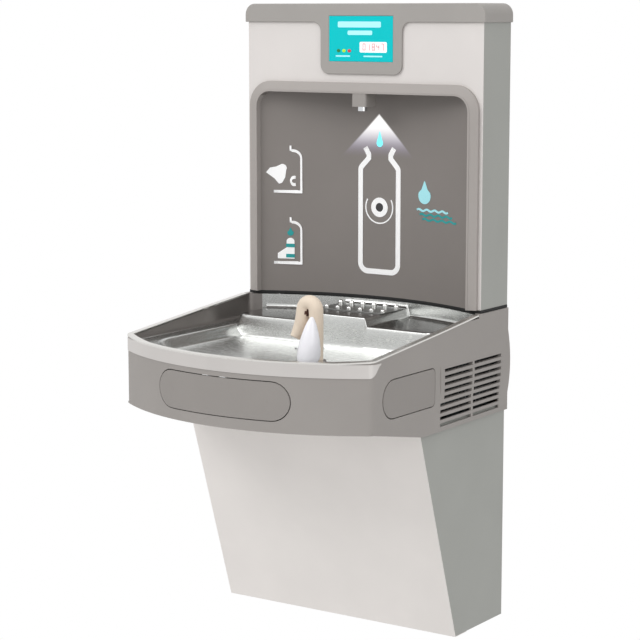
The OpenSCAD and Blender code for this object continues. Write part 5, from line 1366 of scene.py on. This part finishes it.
@dataclass
class Alcove:
    """The liner with its printed marks, the bottle sensor and the nozzle."""

    plan: Plan
    mark: Mark = field(init=False)
    bottle_x: float = 0.0035
    sensor_place: Point = (0.003, 0.198)
    line: float = 0.009
    thin_line: float = 0.0046
    frame_back_y: float = -0.0875
    liner_edge: float = 0.0012
    nozzle_edge: float = 0.0008
    lens_edge: float = 0.0004
    ring_r: float = 0.0118
    ring_w: float = 0.0088
    halo_r: float = 0.0265
    halo_w: float = 0.0022
    pictures_x: float = -0.1395
    hand_z: float = 0.2185
    flask_z: float = 0.0975

    def __post_init__(self) -> None:
        """Makes the printer for the curved back."""
        self.mark = Mark(self.plan)

    def build(self) -> None:
        """Makes the alcove's pieces."""
        liner = softened_node("alcove_liner", LINER_GREY, self.liner_edge, 3)
        # Painted light: the frame's front faces take the lighter copy of the liner's grey.
        second_finish(liner, FRAME_GREY_PAINTED_LIGHT, lambda face: face.center.y < self.frame_back_y)
        softened_node("nozzle_housing", NOZZLE_GREY, self.nozzle_edge, 3)
        self.bottle()
        self.sensor()
        self.hand_picture(self.pictures_x, self.hand_z)
        self.bottle_picture(self.pictures_x, self.flask_z)
        self.waves()

    def bottle(self) -> None:
        """Prints the bottle's outline and the falling drop."""
        body, neck, lip = 0.037, 0.0215, 0.0285
        low, shoulder, top = 0.0905, 0.262, 0.2965
        half = [(lip, top), (lip - 0.004, top - 0.006)]
        half += arc((neck + 0.004, top - 0.012), 0.004, 120, 180, 3)
        half += [(neck, 0.279)]
        half += [(body - 0.003, shoulder + 0.004)]
        half += arc((body - 0.006, shoulder - 0.002), 0.006, 30, 0, 3)
        half += arc((body - 0.014, low + 0.014), 0.014, 0, -90, 8)
        points = [(self.bottle_x - x, z) for x, z in half]
        points += [(self.bottle_x + x, z) for x, z in reversed(half)]
        self.mark.stroke("bottle_outline", points, self.line, MARK_WHITE_PAINTED_GLOW)
        self.mark.shape("falling_drop", self.drop((0.003, 0.298), 0.0062, 0.026), MARK_CYAN_PAINTED_GLOW)

    @staticmethod
    def drop(low: Point, radius: float, height: float) -> list[Point]:
        """Gives a drop's outline.

        Args:
            low: Its lowest point.
            radius: The radius of its round end.
            height: Its height.

        Returns:
            The outline.
        """
        x, z = low
        round_end = arc((x, z + radius), radius, 158, 382, 14)
        shares = ((0.5, 0.62), (0.12, 0.93), (0.0, 1.0), (-0.12, 0.93), (-0.5, 0.62))
        return round_end + [(x + radius * across, z + height * up) for across, up in shares]

    def sensor(self) -> None:
        """Makes the sensor's lens and the rings printed round it."""
        softened_node("bottle_sensor", SENSOR_BLACK, self.lens_edge)
        ring = arc(self.sensor_place, self.ring_r, 0, 352, 44)
        self.mark.stroke("sensor_ring", ring, self.ring_w, MARK_WHITE_PAINTED_GLOW, True)
        halo = arc(self.sensor_place, self.halo_r, 150, 390, 40)
        self.mark.stroke("sensor_halo", halo, self.halo_w, MARK_WHITE_PAINTED_GLOW)

    def spout(self, name: str, x: float, z: float) -> None:
        """Prints a tap on its stand.

        Args:
            name: The mark's name.
            x: The stand's place across.
            z: The height of its foot.
        """
        bend = 0.013
        points = [(x - 0.044, z), (x, z)]
        points += arc((x - bend, z + 0.056), bend, 0, 82, 8)
        points += [(x - 0.0175, z + 0.0695), (x - 0.0178, z + 0.0775)]
        self.mark.stroke(name, points, self.thin_line, MARK_WHITE_PAINTED_GLOW)

    def hand_picture(self, x: float, z: float) -> None:
        """Prints a tap with an open hand beside a sensor.

        Args:
            x: The stand's place across.
            z: The height of its foot.
        """
        self.spout("hand_picture_tap", x, z)
        palm = [(x - 0.056, z + 0.032), (x - 0.050, z + 0.040), (x - 0.040, z + 0.042)]
        palm += arc((x - 0.0305, z + 0.0395), 0.007, 100, -30, 6)
        palm += [(x - 0.026, z + 0.024), (x - 0.031, z + 0.0145), (x - 0.036, z + 0.013),
                 (x - 0.043, z + 0.022)]
        self.mark.shape("hand_picture_hand", palm, MARK_WHITE_PAINTED_GLOW)
        self.mark.stroke("hand_picture_sensor", arc((x - 0.011, z + 0.018), 0.0062, 70, 290, 12),
                         0.0052, MARK_WHITE_PAINTED_GLOW)

    def bottle_picture(self, x: float, z: float) -> None:
        """Prints a tap that fills a bottle.

        Args:
            x: The stand's place across.
            z: The height of its foot.
        """
        self.spout("bottle_picture_tap", x, z)
        flask = [(x - 0.038, z + 0.007), (x - 0.011, z + 0.007), (x - 0.011, z + 0.026)]
        flask += arc((x - 0.0175, z + 0.036), 0.0065, -10, 190, 10)
        flask += [(x - 0.024, z + 0.026), (x - 0.038, z + 0.016)]
        self.mark.shape("bottle_picture_flask", flask, MARK_WHITE_PAINTED_GLOW)
        lifted = Mark(self.plan, lift=2.6 * SKIN)
        left, right, tall = x - 0.0245, x - 0.0105, 0.006
        for i, low in enumerate((z + 0.009, z + 0.0265)):
            band = [(left, low), (right, low), (right, low + tall), (left, low + tall)]
            lifted.shape(f"bottle_picture_band_{i}", band, MARK_TEAL)
        self.mark.shape("bottle_picture_drop", self.drop((x - 0.0175, z + 0.046), 0.0052, 0.014),
                        MARK_TEAL)

    def waves(self) -> None:
        """Prints a plain drop over three wavy lines."""
        self.mark.shape("wave_drop", self.drop((0.0965, 0.209), 0.0135, 0.038), MARK_DROP_PAINTED_GLOW)
        top, pitch, swing, width, steps = 0.199, 0.0075, 0.0014, 0.0034, 40
        for row in range(3):
            start, end = 0.080 + 0.006 * row, 0.150 + 0.010 * row
            points = [(start + (end - start) * i / steps,
                       top - pitch * row + swing * math.sin(math.tau * 4 * i / steps))
                      for i in range(steps + 1)]
            self.mark.stroke(f"wave_line_{row}", points, width, MARK_TEAL if row else MARK_DROP_PAINTED_GLOW)


@dataclass
class Display:
    """The lit display behind its window."""

    digits: str = "01847"
    front: float = -0.0903
    lamp_x: float = -0.0425
    lamp_pitch: float = 0.0105
    lamp_z: float = 0.456
    lamp_r: float = 0.0034
    lamp_proud: float = 0.0004
    ink: float = 0.0002
    window_edge: float = 0.0006
    lines: tuple[tuple[Point, Point], ...] = (
        ((-0.044, 0.039), (0.4935, 0.503)),
        ((-0.025, 0.0225), (0.4815, 0.4885)),
        ((-0.048, -0.020), (0.4462, 0.4485)),
        ((0.006, 0.042), (0.4462, 0.4485)))
    field_x: Point = (-0.0015, 0.0505)
    field_z: Point = (0.4535, 0.4705)
    digit_size: tuple[float, float, float] = (0.0054, 0.0100, 0.0012)
    digit_pitch: float = 0.0088
    digit_place: Point = (0.0045, 0.4568)
    digit_inset: float = 0.0001

    def build(self) -> None:
        """Makes the window and all that shows in it."""
        low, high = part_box("display_window")
        self.front = low.y
        bm = bmesh.new()
        slab(bm, low, high)
        soften(bm, self.window_edge)
        publish(bm, "display_window_finished", WINDOW_CYAN, stands_for=["display_window"])
        for i, (x, z) in enumerate(self.lines):
            self.bar(f"display_line_{i}", x, z, PRINT_PALE)
        self.bar("counter_field", self.field_x, self.field_z, PRINT_WHITE)
        self.counter()
        self.lamps()

    def bar(self, name: str, x: Point, z: Point, finish: Finish) -> None:
        """Prints a rounded bar on the window.

        Args:
            name: The bar's name.
            x: Its left and right ends.
            z: Its lower and upper edges.
            finish: Its ink.
        """
        bm = bmesh.new()
        back = self.front - SKIN
        slab(bm, (x[0], back - self.ink, z[0]), (x[1], back, z[1]))
        upright = [e for e in bm.edges if abs(e.verts[0].co.y - e.verts[1].co.y) > self.ink / 2]
        bmesh.ops.bevel(bm, geom=upright, offset=min(0.0022, (z[1] - z[0]) * 0.4), affect="EDGES",
                        segments=4, profile=0.5, material=-1)
        publish(bm, name, finish)

    def counter(self) -> None:
        """Prints the counter's digits, each of seven short bars."""
        lit = {"0": "abcdef", "1": "bc", "2": "abged", "3": "abgcd", "4": "fgbc", "5": "afgcd",
               "6": "afgedc", "7": "abc", "8": "abcdefg", "9": "abcdfg"}
        w, h, t = self.digit_size
        bars = {"a": (0.0, h, w, t), "g": (0.0, h / 2, w, t), "d": (0.0, 0.0, w, t),
                "f": (0.0, h / 2, t, h / 2), "b": (w - t, h / 2, t, h / 2),
                "e": (0.0, 0.0, t, h / 2), "c": (w - t, 0.0, t, h / 2)}
        bm = bmesh.new()
        y = self.front - 3 * SKIN
        inset = self.digit_inset
        for i, digit in enumerate(self.digits):
            x0, z0 = self.digit_place[0] + self.digit_pitch * i, self.digit_place[1]
            for key in lit[digit]:
                bx, bz, bw, bh = bars[key]
                slab(bm, (x0 + bx + inset, y - self.ink, z0 + bz + inset),
                     (x0 + bx + bw - inset, y, z0 + bz + bh - inset))
        publish(bm, "counter_digits", DIGIT_PINK)

    def lamps(self) -> None:
        """Makes the three status lamps."""
        for i, finish in enumerate((LED_GREEN, LED_YELLOW, LED_RED)):
            bm = bmesh.new()
            place = Matrix.Translation((self.lamp_x + self.lamp_pitch * i,
                                        self.front - self.lamp_proud, self.lamp_z))
            bmesh.ops.create_uvsphere(bm, u_segments=20, v_segments=10, radius=self.lamp_r,
                                      matrix=place @ Matrix.Diagonal((1.0, 0.12, 0.8, 1.0)))
            publish(bm, finish.name, finish)


@dataclass
class Machinery:
    """The parts inside, which keep the frame's shapes."""

    finishes: dict[str, Finish] = field(default_factory=lambda: dict(CARRIED))

    def build(self) -> None:
        """Dresses each frame node that stays."""
        for name, finish in self.finishes.items():
            kept = frame["nodes"][name]
            kept.data.materials.clear()
            kept.data.materials.append(finish.material())
            LOG.info("%s: %s", name, finish.name)


def main() -> None:
    """Builds every sub-assembly in order."""
    logging.basicConfig(level=logging.INFO, format="%(message)s")
    plan = Plan()
    Studio().build()
    for part in (Sheets(), Apron(), Springs(), Basin(plan), Bubbler(), Alcove(plan), Display(),
                 Machinery()):
        LOG.info("Building %s", type(part).__name__)
        part.build()


if __name__ == "__main__":
    main()
